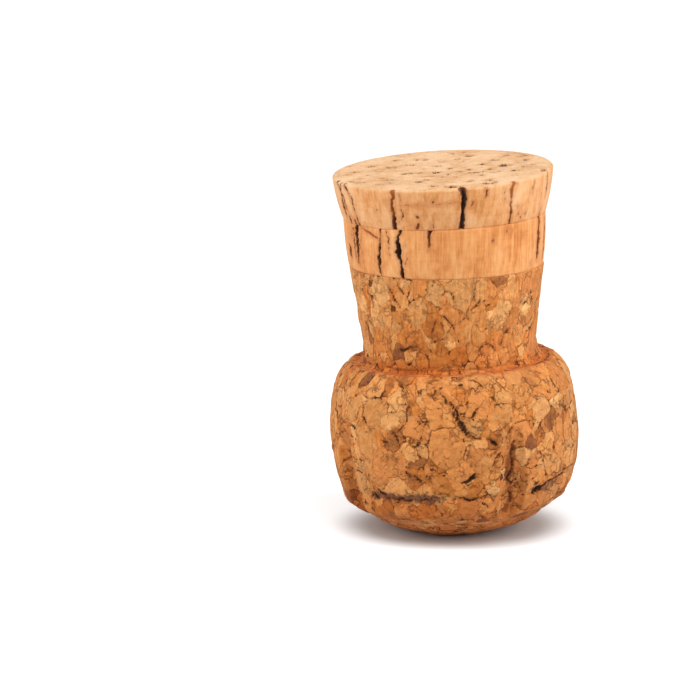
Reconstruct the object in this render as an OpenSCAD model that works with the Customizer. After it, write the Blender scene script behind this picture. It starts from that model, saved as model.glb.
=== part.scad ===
// Sparkling-wine cork, drawn and used, standing on its mushroom head.
// Three glued pieces: an agglomerated body and two discs of natural cork.
// Each piece is drawn on the cork's own axis, then leaned over on its rest face.

/* [Length] */
// Length along the axis, from the rest face to the middle of the end face
cork_length = 47.2; // [44:0.1:54]
// Height of the flat ring that the bottle's lip pressed round the neck
seat_height = 22.5; // [20:0.1:24]

/* [Head] */
// Widest diameter of the head
head_d = 32.4; // [30:0.1:36]
// Height of the widest part of the head
belly_height = 13.2; // [12:0.1:15]
// Radius of the upright curve of the head's side
belly_curve = 28; // [22:1:60]
// Radius of the round shoulder above the side
shoulder_curve = 5.4; // [4:0.1:6.5]
// How much the flat ring takes off the top of that round
seat_cut = 0.9; // [0.3:0.1:1.6]
// Radius of the round rim below the side
rim_curve = 1.5; // [1:0.1:3]
// Slope of the cone under the rim, in degrees from level
under_slope = 29; // [24:1:36]

/* [Cap print] */
// Diameter of the flat spot that the cork rests on
rest_d = 11.6; // [9:0.2:15]
// Radius of the dome that the cap's button moulded
dome_curve = 24; // [20:0.5:40]
// Diameter of the dome
dome_d = 21.8; // [18:0.1:24]
// Height of the step round the dome
dome_step = 0.35; // [0.15:0.05:0.6]
// Height of the crease pressed by the cap's edge
crease_height = 7; // [6.4:0.1:8.5]
// Radius of the cap's rolled edge
crease_curve = 0.5; // [0.3:0.05:0.8]
// Depth of the crease
crease_depth = 0.28; // [0.1:0.02:0.4]

/* [Wire prints] */
// Number of cage wires
wire_count = 4; // [2:1:6]
// Turn of the first wire print, in degrees from +X
wire_turn = -63; // [-90:1:90]
// Radius of each print
wire_curve = 1.9; // [1:0.1:2.6]
// Depth of each print at the crease
wire_depth = 1.7; // [0.6:0.1:2.2]
// Height where the prints run out on the side
wire_top = 15.5; // [13.5:0.1:18]

/* [Shank] */
// Diameter of the neck just above the head
neck_d = 22.7; // [20:0.1:24]
// Length of the straight neck above the flat ring
neck_length = 2.3; // [1.6:0.1:4]
// Radius of the bend from the neck into the flare
bend_curve = 12; // [6:1:16]
// Diameter where the body meets the first disc
glue_d = 25.2; // [24.6:0.1:26.4]
// Slope of that glued face across the front, in degrees
glue_slope = 1.4; // [0:0.1:2]
// Radius of the round in the corner between neck and head
seat_round = 0.7; // [0.4:0.1:1.4]
// How far the shank sits off the head's axis
shank_offset = 0.3; // [0:0.05:0.8]

/* [Discs] */
// Thickness of the disc glued to the body
inner_disc_t = 6.5; // [5:0.1:7.5]
// Diameter of its upper edge
inner_disc_d = 26.3; // [25.6:0.1:27.4]
// Thickness of the disc at the end
end_disc_t = 5.7; // [5:0.1:7.5]
// Diameter of its lower edge
end_disc_d = 26.7; // [25.8:0.1:28]
// Diameter of the end face
end_d = 28.7; // [27.5:0.1:30]
// How far the side of each disc swells past straight
disc_bulge = 0.13; // [0.05:0.01:0.3]
// Slope of the end face across the front, in degrees
end_slope_side = 0.9; // [0:0.1:2]
// Slope of the end face towards the front, in degrees
end_slope_front = 1.3; // [0:0.1:2]

/* [Pores] */
// Depth of the open pores in the discs' sides
side_pore_depth = 0.9; // [0.4:0.1:1.6]
// Depth of the open pores in the end face
face_pore_depth = 0.8; // [0.4:0.1:1.6]
// Number of pores round the hidden half of each disc
back_pores = 5; // [0:1:8]

/* [Stand] */
// How far the cork leans, in degrees
lean = 2.3; // [0:0.1:4]

/* [Hidden] */
$fn = 96;

body_colour = [0.78, 0.53, 0.31];
inner_disc_colour = [0.88, 0.62, 0.38];
end_disc_colour = [0.92, 0.71, 0.49];

// Open pores in the sides: turn from the front, width, lower and upper end as shares of the disc
end_disc_pores = [
    [10, 1.0, 0.05, 1.2],
    [-28, 0.5, 0.1, 1.2],
    [39, 0.6, 0.2, 1.2],
    [-63, 0.3, 0.1, 1.2],
    [-74, 0.3, 0.1, 1.2]
];
inner_disc_pores = [
    [-9, 0.4, 0.5, 0.95],
    [-27, 0.6, 0.1, 0.8],
    [-41, 0.4, 0.1, 0.95],
    [-64, 0.8, 0.2, 0.9],
    [69, 0.6, 0.15, 0.9]
];

// Kinds of pore round the hidden half: width, lower and upper end. Each disc's start at their own turn.
hidden_kinds = [[0.4, 0.1, 0.9], [0.6, 0.2, 0.95], [0.5, 0.1, 0.7]];
inner_hidden_first = 100;
end_hidden_first = 115;
hidden_span = 150;
hidden_stray = 9;
golden_turn = 137.5;

// Open pores in the end face: place, length and width
face_pores = [
    [8.0, 0.8, 1.6, 0.7],
    [4.3, -3.2, 2.4, 0.4],
    [3.7, 8.8, 1.2, 0.5],
    [5.1, 1.7, 1.0, 0.4],
    [-8.9, 4.6, 1.0, 0.5],
    [-3.9, 4.5, 1.2, 0.5],
    [-3.5, -1.5, 1.4, 0.5],
    [-1.7, -4.2, 1.0, 0.5],
    [-3.3, -7.4, 1.0, 0.4],
    [9.2, -3.9, 1.2, 0.5],
    [11.0, 3.6, 0.9, 0.4],
    [-2.2, 7.6, 1.2, 0.4],
    [-7.8, -4.5, 1.0, 0.4],
    [6.4, -9.7, 1.4, 0.4]
];

head_r = head_d / 2;
rest_r = rest_d / 2;
dome_r = dome_d / 2;
neck_r = neck_d / 2;
glue_r = glue_d / 2;
end_disc_low = cork_length - end_disc_t;
body_top = end_disc_low - inner_disc_t;
margin = 2;
big = 3 * cork_length;
front = -90;
arc_step = 6;

// ---- Head: centres and ends of the arcs of its section ----

belly_x = head_r - belly_curve;
dome_height = sqrt(pow(dome_curve, 2) - pow(rest_r, 2));
dome_edge = dome_height - sqrt(pow(dome_curve, 2) - pow(dome_r, 2));
cone_x = dome_r + dome_step / 2;
cone_z = dome_edge + dome_step;

// The shoulder's arc touches the belly's from inside.
shoulder_z = seat_height + seat_cut - shoulder_curve;
seat_turn = asin((shoulder_curve - seat_cut) / shoulder_curve);
shoulder_turn = asin((shoulder_z - belly_height) / (belly_curve - shoulder_curve));
shoulder_x = belly_x + (belly_curve - shoulder_curve) * cos(shoulder_turn);

// The rim's arc touches the belly's from inside, and the cone under it.
rim_from = [
    cone_x - rim_curve * sin(under_slope) - belly_x,
    cone_z + rim_curve * cos(under_slope) - belly_height
];
rim_along = rim_from * [cos(under_slope), sin(under_slope)];
rim_run = sqrt(pow(rim_along, 2) - rim_from * rim_from + pow(belly_curve - rim_curve, 2)) - rim_along;
rim_x = belly_x + rim_from[0] + rim_run * cos(under_slope);
rim_z = belly_height + rim_from[1] + rim_run * sin(under_slope);
rim_turn = asin((rim_z - belly_height) / (belly_curve - rim_curve));

// Radius of the belly's arc at a height.
function belly_r(z) = belly_x + sqrt(pow(belly_curve, 2) - pow(z - belly_height, 2));

// ---- Shank: the flare is a straight line that touches the bend's arc ----

bend_height = seat_height + neck_length;
bend_x = neck_r + bend_curve;
flare_out = glue_r - bend_x;
flare_up = body_top - bend_height;
flare_turn = asin(bend_curve / norm([flare_out, flare_up])) + atan2(flare_out, flare_up);

// The corner round runs out just under the flat ring.
seat_sink = 0.05;
seat_round_z = seat_height + seat_round - seat_sink;

// ---- Sections, right of the axis ----

// Points along an arc, from one angle to another.
function arc(x, z, r, from, to) =
    let (steps = max(4, ceil(abs(to - from) / arc_step)))
    [for (i = [0 : steps]) let (a = from + (to - from) * i / steps) [x + r * cos(a), z + r * sin(a)]];

head_outline = concat(
    arc(0, dome_height, dome_curve, -90, asin(dome_r / dome_curve) - 90),
    [[cone_x, cone_z]],
    arc(rim_x, rim_z, rim_curve, under_slope - 90, rim_turn),
    arc(belly_x, belly_height, belly_curve, rim_turn, shoulder_turn),
    arc(shoulder_x, shoulder_z, shoulder_curve, shoulder_turn, seat_turn),
    [[0, seat_height]]
);

// The shank starts inside the head. Past the glued face it runs on, to be cut there.
shank_outline = concat(
    [[0, belly_height], [neck_r + seat_round, belly_height]],
    arc(neck_r + seat_round, seat_round_z, seat_round, 270, 180),
    arc(bend_x, bend_height, bend_curve, 180, 180 - flare_turn),
    [[glue_r + margin * tan(flare_turn), body_top + margin], [0, body_top + margin]]
);

// A disc's side is an arc through its lower and upper edge, which runs on past both.
module disc_section(low_r, low, high_r, high) {
    chord = norm([high_r - low_r, high - low]);
    arc_r = (pow(chord / 2, 2) + pow(disc_bulge, 2)) / (2 * disc_bulge);
    inward = (arc_r - disc_bulge) / chord;
    intersection() {
        translate([
            (low_r + high_r) / 2 - inward * (high - low),
            (low + high) / 2 + inward * (high_r - low_r)
        ])
            circle(arc_r);
        translate([0, low - margin]) square([big, high - low + 2 * margin]);
    }
}

// ---- Placing and cutting ----

// From the cork's own axis to where it stands: rolled over to -X on its dome.
module stand() {
    translate([(belly_height - dome_height) * sin(lean), 0, dome_height])
        rotate([0, -lean, 0])
            translate([0, 0, -dome_height])
                children();
}

module on_shank_axis() {
    translate([-shank_offset, 0, 0]) children();
}

// Everything above a height, with its lower face sloped across and towards the front.
module above(height, slope_side = 0, slope_front = 0) {
    translate([0, 0, height])
        rotate([slope_front, -slope_side, 0])
            translate([-big / 2, -big / 2, 0])
                cube(big);
}

// A pointed slit of a given length and width, cut up from the plane.
module pore(length, width, depth) {
    lens_r = (pow(length / 2, 2) + pow(width / 2, 2)) / width;
    linear_extrude(depth)
        intersection() {
            translate([0, lens_r - width / 2]) circle(lens_r);
            translate([0, width / 2 - lens_r]) circle(lens_r);
        }
}

// Upright slits in a disc's side, each along the slope of that side.
module side_pores(pores, low_r, low, high_r, high) {
    slope = atan2(high_r - low_r, high - low);
    run = high - low;
    for (p = pores)
        rotate([0, 0, front + p[0]])
            translate([low_r, 0, low])
                rotate([0, slope, 0])
                    translate([0, 0, p[2] * run])
                        pore(2 * side_pore_depth, p[1], (p[3] - p[2]) * run);
}

// The hidden half has slits of the same kind, spread unevenly from a first turn.
function hidden_pores(first) = [
    for (i = [0 : 1 : back_pores - 1])
        let (turn = first + i * hidden_span / back_pores + hidden_stray * sin(golden_turn * i))
            concat([turn], hidden_kinds[i % len(hidden_kinds)])
];

// ---- Cuts in the head ----

// One straight round bar for each wire: deepest at the rim, running out up the side.
module wire_prints() {
    low_x = belly_r(crease_height) - wire_depth + wire_curve;
    top_x = belly_r(wire_top) + wire_curve;
    tip = atan2(top_x - low_x, wire_top - crease_height);
    for (i = [0 : wire_count - 1])
        rotate([0, 0, wire_turn + i * 360 / wire_count])
            translate([low_x, 0, crease_height])
                rotate([0, tip, 0])
                    translate([0, 0, -seat_height])
                        cylinder(r = wire_curve, h = 2 * seat_height);
}

module crease() {
    rotate_extrude()
        translate([belly_r(crease_height) + crease_curve - crease_depth, crease_height])
            circle(crease_curve);
}

// ---- Pieces ----

module agglomerate_body() {
    color(body_colour)
        intersection() {
            stand()
                difference() {
                    union() {
                        rotate_extrude() polygon(head_outline);
                        on_shank_axis() rotate_extrude() polygon(shank_outline);
                    }
                    on_shank_axis() above(body_top, -glue_slope);
                    wire_prints();
                    crease();
                }
            above(0);
        }
}

module inner_disc() {
    color(inner_disc_colour)
        stand() on_shank_axis()
            difference() {
                intersection() {
                    rotate_extrude() disc_section(glue_r, body_top, inner_disc_d / 2, end_disc_low);
                    above(body_top, -glue_slope);
                }
                above(end_disc_low);
                side_pores(
                    concat(inner_disc_pores, hidden_pores(inner_hidden_first)),
                    glue_r, body_top, inner_disc_d / 2, end_disc_low
                );
            }
}

module end_disc() {
    color(end_disc_colour)
        stand() on_shank_axis()
            difference() {
                intersection() {
                    rotate_extrude() disc_section(end_disc_d / 2, end_disc_low, end_d / 2, cork_length);
                    above(end_disc_low);
                }
                above(cork_length, end_slope_side, end_slope_front);
                side_pores(
                    concat(end_disc_pores, hidden_pores(end_hidden_first)),
                    end_disc_d / 2, end_disc_low, end_d / 2, cork_length
                );
                for (p = face_pores)
                    translate([p[0], p[1], cork_length - face_pore_depth])
                        pore(p[2], p[3], face_pore_depth + margin);
            }
}

agglomerate_body();
inner_disc();
end_disc();
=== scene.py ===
import math

import bpy
import numpy as np
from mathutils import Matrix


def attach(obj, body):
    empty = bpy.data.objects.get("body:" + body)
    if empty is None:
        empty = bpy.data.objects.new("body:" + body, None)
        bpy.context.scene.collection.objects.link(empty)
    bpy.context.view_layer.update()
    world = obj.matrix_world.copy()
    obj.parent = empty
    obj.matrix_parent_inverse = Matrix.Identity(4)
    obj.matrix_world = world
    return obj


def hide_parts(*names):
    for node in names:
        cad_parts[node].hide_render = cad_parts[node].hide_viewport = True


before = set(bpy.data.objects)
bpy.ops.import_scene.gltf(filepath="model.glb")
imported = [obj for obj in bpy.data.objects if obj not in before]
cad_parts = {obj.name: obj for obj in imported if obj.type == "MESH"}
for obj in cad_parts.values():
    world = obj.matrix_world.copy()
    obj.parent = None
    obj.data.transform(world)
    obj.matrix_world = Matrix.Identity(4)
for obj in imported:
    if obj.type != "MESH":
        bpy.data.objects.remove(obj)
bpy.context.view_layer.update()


# ---- Stand: camera, white floor and soft lamps ----
# The cork stands on a white table, with one large lamp above and in front and one at each side, the right
# one stronger. Together with the white room they light it so that a colour shows about as it is written.

VIEW_DOWN = math.radians(11.3)
VIEW_DISTANCE = 0.600
VIEW_TARGET = (-0.01366, 0.0, 0.02336)
LENS = 236.7
ROOM_LIGHT = 0.38
FLOOR_HALF = 4.0
FLOOR_DROP = 0.00002
FLOOR_GREY, FLOOR_WHITE, FAR_WHITE = 0.66, 0.54, 0.14
# How far from the middle of the cork's foot its shadow ends and the lamps' light falls off, in metres.
SHADOW_FROM, SHADOW_TO, FAR_FROM, FAR_TO = 0.0105, 0.0172, 0.20, 0.62
SENSOR_WIDTH = 36.0
# Place, the point it faces, width, height and watts of each lamp, in metres.
LAMPS = {
    "lamp_right": ((0.62, -0.18, 0.34), (0.0, 0.0, 0.025), 0.34, 0.50, 3.3),
    "lamp_left": ((-0.62, -0.16, 0.30), (0.0, 0.0, 0.025), 0.34, 0.50, 2.75),
    "lamp_top": ((0.06, -0.40, 0.62), (0.0, 0.0, 0.020), 0.46, 0.46, 2.2),
}

scene = bpy.context.scene
scene.view_settings.view_transform = "Standard"


class Nodes:
    """A node tree written as formulas.

    Each method adds nodes, fills their inputs and gives what they put out; `add` gives the node itself."""

    def __init__(self, tree):
        self.tree = tree

    def add(self, kind, inputs, **settings):
        node = self.tree.nodes.new("ShaderNode" + kind)
        for name, value in settings.items():
            setattr(node, name, value)
        for socket, value in inputs.items():
            if isinstance(value, bpy.types.NodeSocket):
                self.tree.links.new(value, node.inputs[socket])
            else:
                node.inputs[socket].default_value = value
        return node

    def math(self, operation, *values, clamp=False):
        """One sum on plain numbers, held between 0 and 1 if clamped."""
        return self.add("Math", dict(enumerate(values)), operation=operation, use_clamp=clamp).outputs[0]

    def vector(self, operation, *values):
        """One sum on vectors."""
        return self.add("VectorMath", dict(enumerate(values)), operation=operation).outputs[0]

    def scaled(self, vector, size):
        """A vector times a number."""
        node = self.add("VectorMath", {0: vector, "Scale": size}, operation="SCALE")
        return node.outputs[0]

    def split(self, vector):
        """The three numbers of a vector."""
        return self.add("SeparateXYZ", {0: vector}).outputs[:3]

    def attribute(self, name):
        """The vector that the mesh holds under a name."""
        return self.add("Attribute", {}, attribute_name=name).outputs["Vector"]

    def noise(self, place, scale, detail=2.0, roughness=0.5):
        """Smooth random waves from 0 to 1, `scale` of them to a millimetre."""
        inputs = {"Vector": place, "Scale": scale, "Detail": detail, "Roughness": roughness}
        return self.add("TexNoise", inputs).outputs["Fac"]

    def span(self, value, low, high, to_low=0.0, to_high=1.0):
        """A smooth step: to_low at low, to_high at high, level outside."""
        inputs = {0: value, 1: low, 2: high, 3: to_low, 4: to_high}
        return self.add("MapRange", inputs, interpolation_type="SMOOTHSTEP").outputs[0]

    def mix(self, share, first, second, blend="MIX"):
        """Two colours blended, with as much of the second as the share says."""
        node = self.add("Mix", {0: share, 6: first, 7: second}, data_type="RGBA", blend_type=blend)
        return node.outputs[2]

    def painted(self, colour, share, strength, paint):
        """A colour with another laid over it, as much as share times strength."""
        return self.mix(self.math("MULTIPLY", share, strength), colour, paint)

    def shaded(self, colour, shade):
        """A colour with its red, green and blue multiplied by one number."""
        grey = self.add("CombineColor", {0: shade, 1: shade, 2: shade}).outputs[0]
        return self.mix(1.0, colour, grey, "MULTIPLY")

    def swayed(self, value, waves, reach, clamp=False):
        """A value moved up and down by waves that run from 0 to 1: value + reach * (waves - 0.5)."""
        return self.math("MULTIPLY_ADD", self.math("SUBTRACT", waves, 0.5), reach, value, clamp=clamp)

    def ramp(self, value, colours):
        """A colour ramp with its colours evenly spaced from 0 to 1."""
        node = self.add("ValToRGB", {0: value})
        stops = node.color_ramp.elements
        while len(stops) < len(colours):
            stops.new(0.5)
        for i, colour in enumerate(colours):
            stops[i].position = i / (len(colours) - 1)
            stops[i].color = (*colour, 1.0)
        return node.outputs[0]


def new_material(name, constants):
    """An empty material, its nodes, and its Principled shader with the constants on its own sockets."""
    material = bpy.data.materials.new(name)
    material.use_nodes = True
    material.node_tree.nodes.clear()
    nodes = Nodes(material.node_tree)
    shader = nodes.add("BsdfPrincipled", constants)
    nodes.add("OutputMaterial", {"Surface": shader.outputs[0]})
    return material, nodes, shader


def seen_directly(nodes):
    """1 for rays from the camera or by way of metal or glass, 0 for those that light the cork."""
    ray = nodes.add("LightPath", {})
    seen = nodes.math("MAXIMUM", ray.outputs["Is Camera Ray"], ray.outputs["Is Glossy Ray"])
    return nodes.math("MAXIMUM", seen, ray.outputs["Is Transmission Ray"])


camera = bpy.data.objects.new("camera", bpy.data.cameras.new("camera"))
camera.data.lens = LENS
camera.data.sensor_width = SENSOR_WIDTH
camera.location = (
    VIEW_TARGET[0],
    VIEW_TARGET[1] - VIEW_DISTANCE * math.cos(VIEW_DOWN),
    VIEW_TARGET[2] + VIEW_DISTANCE * math.sin(VIEW_DOWN),
)
camera.rotation_euler = (math.pi / 2 - VIEW_DOWN, 0.0, 0.0)
scene.collection.objects.link(camera)
scene.camera = camera

for name, (place, aim, width, height, watts) in LAMPS.items():
    lamp = bpy.data.objects.new(name, bpy.data.lights.new(name, "AREA"))
    lamp.data.shape = "RECTANGLE"
    lamp.data.size, lamp.data.size_y = width, height
    lamp.data.energy = watts
    lamp.location = place
    lamp.rotation_euler = (lamp.location - type(lamp.location)(aim)).to_track_quat("Z", "Y").to_euler()
    scene.collection.objects.link(lamp)

room = bpy.data.worlds.new("white_room")
room.use_nodes = True
room.node_tree.nodes.clear()
nodes = Nodes(room.node_tree)
strength = nodes.math("MULTIPLY", seen_directly(nodes), 1.0 - ROOM_LIGHT)
strength = nodes.math("ADD", ROOM_LIGHT, strength)
light = nodes.add("Background", {"Color": (1.0, 1.0, 1.0, 1.0), "Strength": strength})
nodes.add("OutputWorld", {"Surface": light.outputs[0]})
scene.world = room

floor_mesh = bpy.data.meshes.new("floor")
corners = [(x, y, -FLOOR_DROP) for x, y in ((-1, -1), (1, -1), (1, 1), (-1, 1))]
floor_mesh.from_pydata([(x * FLOOR_HALF, y * FLOOR_HALF, z) for x, y, z in corners], [], [(0, 1, 2, 3)])
floor = bpy.data.objects.new("floor", floor_mesh)
scene.collection.objects.link(floor)
floor_white, nodes, shader = new_material("floor_white", {
    "Base Color": (FLOOR_GREY, FLOOR_GREY, FLOOR_GREY, 1.0), "Roughness": 0.9, "Specular IOR Level": 0.0})
# To the camera the floor glows white, a painted light, everywhere but under the cork, where only the
# lamps and the room reach. Far from the lamps the glow makes up for the light that they no longer give.
on_floor = nodes.add("TexCoord", {}).outputs["Object"]
from_cork = nodes.add("VectorMath", {0: on_floor}, operation="LENGTH").outputs["Value"]
white = nodes.span(from_cork, SHADOW_FROM, SHADOW_TO, 0.0, FLOOR_WHITE)
white = nodes.math("ADD", white, nodes.span(from_cork, FAR_FROM, FAR_TO, 0.0, FAR_WHITE))
white = nodes.math("MULTIPLY", seen_directly(nodes), white)
glow = nodes.add("Emission", {"Color": (1.0, 1.0, 1.0, 1.0), "Strength": white})
both = nodes.add("AddShader", {0: shader.outputs[0], 1: glow.outputs[0]})
output = next(node for node in nodes.tree.nodes if node.bl_idname == "ShaderNodeOutputMaterial")
nodes.tree.links.new(both.outputs[0], output.inputs["Surface"])
floor_mesh.materials.append(floor_white)


# ---- Agglomerated body ----
# The head and shank are one piece of cork granules, 2 to 6 mm across, bonded with a thin dark glue and
# moulded, then shaped by the bottle's neck. The cap's edge pressed the crease round the head, its button
# the dome, and the wires of the cage the upright grooves. Sizes are in millimetres.

HEAD_R, BELLY_Z, BELLY_CURVE = 16.2, 13.2, 28.0
SHOULDER_CURVE, SEAT_Z, SEAT_CUT = 5.4, 22.5, 0.9
RIM_CURVE, UNDER_SLOPE = 1.5, math.radians(29)
REST_R, DOME_CURVE, DOME_R, DOME_STEP = 5.8, 24.0, 10.9, 0.35
CREASE_Z, CREASE_DEPTH, CREASE_WIDTH = 7.0, 0.30, 0.42
NECK_R, NECK_LENGTH, BEND_CURVE, SEAT_ROUND = 11.35, 2.3, 12.0, 0.7
GLUE_R, GLUE_Z, GLUE_SLOPE, SHANK_OFFSET = 12.6, 35.0, math.radians(1.4), 0.3
LEAN = math.radians(2.3)
WIRE_CURVE, WIRE_TOP = 1.9, 15.5
# Turn from the front in degrees, and depth, of each wire's groove.
WIRES = [(27, 1.70), (117, 1.60), (207, 1.65), (297, 1.70)]
BODY_COLUMNS, BODY_STEP = 400, 0.208
# The dome is an arc from the first radius outwards, and relief is at its full height from the second.
ARC_FROM_R, RELIEF_FROM_R = 4.8, 8.0
# Radii of the rings that divide the middle of the dome and the glued face.
DOME_RING_R, GLUE_RINGS_R = 2.4, (8.0, 4.0)
# The radii at which the hollow in the neck's corner ends, at which the flat ring stops following the
# shank's offset, and outside which the bars of the wires cut.
CORNER_END_R, OFFSET_END_R, WIRE_INNER_R = 12.6, 13.3, 9.0
# Turn from the front in degrees, size in mm and width in degrees: the crease's rise and its drop, the
# hollow in the neck's corner, and the flat on the lower rim. Then how far the cap held the cork in.
CREASE_RISE, CREASE_DROP = (78, 0.9, 24), (-75, 0.3, 22)
CORNER_HOLLOW, RIM_FLAT, CAP_SQUEEZE = (78, 0.42, 34), (70, 0.45, 30), 0.16
# Size and spacing of the moulding's unevenness, broad and fine, in mm.
BROAD_UNEVEN, FINE_UNEVEN = (0.13, 8.0), (0.06, 3.0)
GLUE_CHAMFER = 0.1

DOME_Z = math.sqrt(DOME_CURVE**2 - REST_R**2)
DOME_EDGE = DOME_Z - math.sqrt(DOME_CURVE**2 - DOME_R**2)


def rise(value, low, high):
    """A smooth step from 0 at low to 1 at high: 3t² - 2t³."""
    t = np.clip((value - low) / (high - low), 0.0, 1.0)
    return t * t * (3.0 - 2.0 * t)


def hump(value, middle, width):
    """A bell of height 1: e to the power of minus the square of the distance in widths."""
    return np.exp(-(((value - middle) / width) ** 2))


def turn_from(turn, middle):
    """The difference between two turns in degrees, from -180 to 180."""
    return (turn - middle + 180.0) % 360.0 - 180.0


def round_bell(turn, middle, size, width):
    """A bell round the cork: its size at the middle turn, fading out over a width in degrees."""
    return size * hump(turn_from(turn, middle), 0, width)


def noise(places, size, seed):
    """Smooth random heights from -1 to 1: values on a cubic lattice `size` apart, blended by 3t² - 2t³."""
    lattice = np.random.default_rng(seed).uniform(-1.0, 1.0, (32, 32, 32))
    cell = np.asarray(places) / size
    low = np.floor(cell).astype(int)
    share = cell - low
    share = share * share * (3.0 - 2.0 * share)
    total = np.zeros(cell.shape[:-1])
    for corner in np.ndindex(2, 2, 2):
        weight = np.where(corner, share, 1.0 - share).prod(axis=-1)
        i, j, k = np.moveaxis((low + corner) % 32, -1, 0)
        total += weight * lattice[i, j, k]
    return total


def stand(places):
    """Leans places on the cork's own axis, in mm, over to -X on the dome, and gives them in metres."""
    x, y, z = np.moveaxis(places, -1, 0)
    high = z - DOME_Z
    leant = np.stack([
        x * math.cos(LEAN) - high * math.sin(LEAN) + (BELLY_Z - DOME_Z) * math.sin(LEAN),
        y,
        np.maximum(x * math.sin(LEAN) + high * math.cos(LEAN) + DOME_Z, 0.0),
    ], axis=-1)
    return leant / 1000.0


def arc(x, z, radius, start, end):
    """Points 0.05 mm apart along a circle round (x, z), from one angle to another in radians."""
    turns = np.linspace(start, end, max(3, int(abs(end - start) * radius / 0.05)))
    return np.c_[x + radius * np.cos(turns), z + radius * np.sin(turns)]


def belly_r(height):
    """Radius of the head's side at a height: an arc with its centre at the belly's height."""
    return HEAD_R - BELLY_CURVE + math.sqrt(BELLY_CURVE**2 - (height - BELLY_Z) ** 2)


def body_outline():
    """Radius and height from the rest face to the glued face: arcs that touch each other, joined by lines."""
    belly_x = HEAD_R - BELLY_CURVE
    shoulder_z = SEAT_Z + SEAT_CUT - SHOULDER_CURVE
    seat_turn = math.asin((SHOULDER_CURVE - SEAT_CUT) / SHOULDER_CURVE)
    shoulder_turn = math.asin((shoulder_z - BELLY_Z) / (BELLY_CURVE - SHOULDER_CURVE))
    shoulder_x = belly_x + (BELLY_CURVE - SHOULDER_CURVE) * math.cos(shoulder_turn)
    cone = np.array([DOME_R + DOME_STEP / 2, DOME_EDGE + DOME_STEP])
    along = np.array([math.cos(UNDER_SLOPE), math.sin(UNDER_SLOPE)])
    start = cone + RIM_CURVE * np.array([-along[1], along[0]])
    reach = start - [belly_x, BELLY_Z]
    on = reach @ along
    rim = start + (math.sqrt(on**2 - reach @ reach + (BELLY_CURVE - RIM_CURVE) ** 2) - on) * along
    rim_turn = math.asin((rim[1] - BELLY_Z) / (BELLY_CURVE - RIM_CURVE))
    bend_z, bend_x = SEAT_Z + NECK_LENGTH, NECK_R + BEND_CURVE
    out, up = GLUE_R - bend_x, GLUE_Z - bend_z
    flare = math.asin(BEND_CURVE / math.hypot(out, up)) + math.atan2(out, up)
    quarter = math.pi / 2
    dome_from, dome_to = math.asin(ARC_FROM_R / DOME_CURVE), math.asin(DOME_R / DOME_CURVE)
    return np.concatenate([
        arc(0.0, DOME_Z, DOME_CURVE, dome_from - quarter, dome_to - quarter),
        [cone],
        arc(*rim, RIM_CURVE, UNDER_SLOPE - quarter, rim_turn),
        arc(belly_x, BELLY_Z, BELLY_CURVE, rim_turn, shoulder_turn),
        arc(shoulder_x, shoulder_z, SHOULDER_CURVE, shoulder_turn, seat_turn),
        arc(NECK_R + SEAT_ROUND, SEAT_Z + SEAT_ROUND - 0.05, SEAT_ROUND, 3 * quarter, 2 * quarter),
        arc(bend_x, bend_z, BEND_CURVE, 2 * quarter, 2 * quarter - flare),
        [[GLUE_R - GLUE_CHAMFER * math.tan(flare), GLUE_Z - GLUE_CHAMFER], [GLUE_R - GLUE_CHAMFER, GLUE_Z]],
    ])


def even_steps(outline, step):
    """The outline read off at even distances along it."""
    along = np.r_[0.0, np.cumsum(np.linalg.norm(np.diff(outline, axis=0), axis=1))]
    at = np.linspace(0.0, along[-1], int(round(along[-1] / step)) + 1)
    return np.c_[np.interp(at, along, outline[:, 0]), np.interp(at, along, outline[:, 1])]


def outward(grid):
    """Unit normals of a ring grid: the step round the ring crossed with the step up it."""
    around = np.roll(grid, -1, axis=1) - np.roll(grid, 1, axis=1)
    normal = np.cross(around, np.gradient(grid, axis=0))
    return normal / np.maximum(np.linalg.norm(normal, axis=-1, keepdims=True), 1e-12)


def ring_faces(rows, columns):
    """Quads between the rings of a grid, with the last column joined to the first."""
    low = np.arange((rows - 1) * columns).reshape(rows - 1, columns)
    right = np.roll(low, -1, axis=1)
    return np.stack([low, right, right + columns, low + columns], axis=-1).reshape(-1, 4)


def fan_faces(ring, pole, up):
    """Triangles from a ring of vertices to one pole, above the ring or below it."""
    after = np.roll(ring, -1)
    pair = (ring, after) if up else (after, ring)
    return np.stack([*pair, np.full(len(ring), pole)], axis=-1)


def face_corners(quads, triangles):
    """The vertices of all faces in one row, quads first, and how many corners each face has."""
    sides = np.r_[np.full(len(quads), 4), np.full(len(triangles), 3)]
    return np.r_[quads.ravel(), triangles.ravel()].astype(np.int32), sides


def new_piece(name, places, quads, triangles, material, node):
    """A closed mesh at the origin that stands for a node of the frame."""
    mesh = bpy.data.meshes.new(name)
    mesh.vertices.add(len(places))
    mesh.vertices.foreach_set("co", places.astype(np.float32).ravel())
    corners, sides = face_corners(quads, triangles)
    mesh.loops.add(len(corners))
    mesh.loops.foreach_set("vertex_index", corners)
    mesh.polygons.add(len(sides))
    mesh.polygons.foreach_set("loop_start", np.r_[0, np.cumsum(sides)[:-1]].astype(np.int32))
    mesh.polygons.foreach_set("use_smooth", np.ones(len(sides), bool))
    mesh.update(calc_edges=True)
    mesh.validate()
    mesh.materials.append(material)
    piece = bpy.data.objects.new(name, mesh)
    scene.collection.objects.link(piece)
    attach(piece, "root")
    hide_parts(node)
    return piece


def give(piece, name, domain, values):
    """Stores one vector per vertex, face or corner under a name that materials read."""
    data = piece.data.attributes.new(name, "FLOAT_VECTOR", domain).data
    data.foreach_set("vector", np.ascontiguousarray(values, np.float32).ravel())


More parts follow.
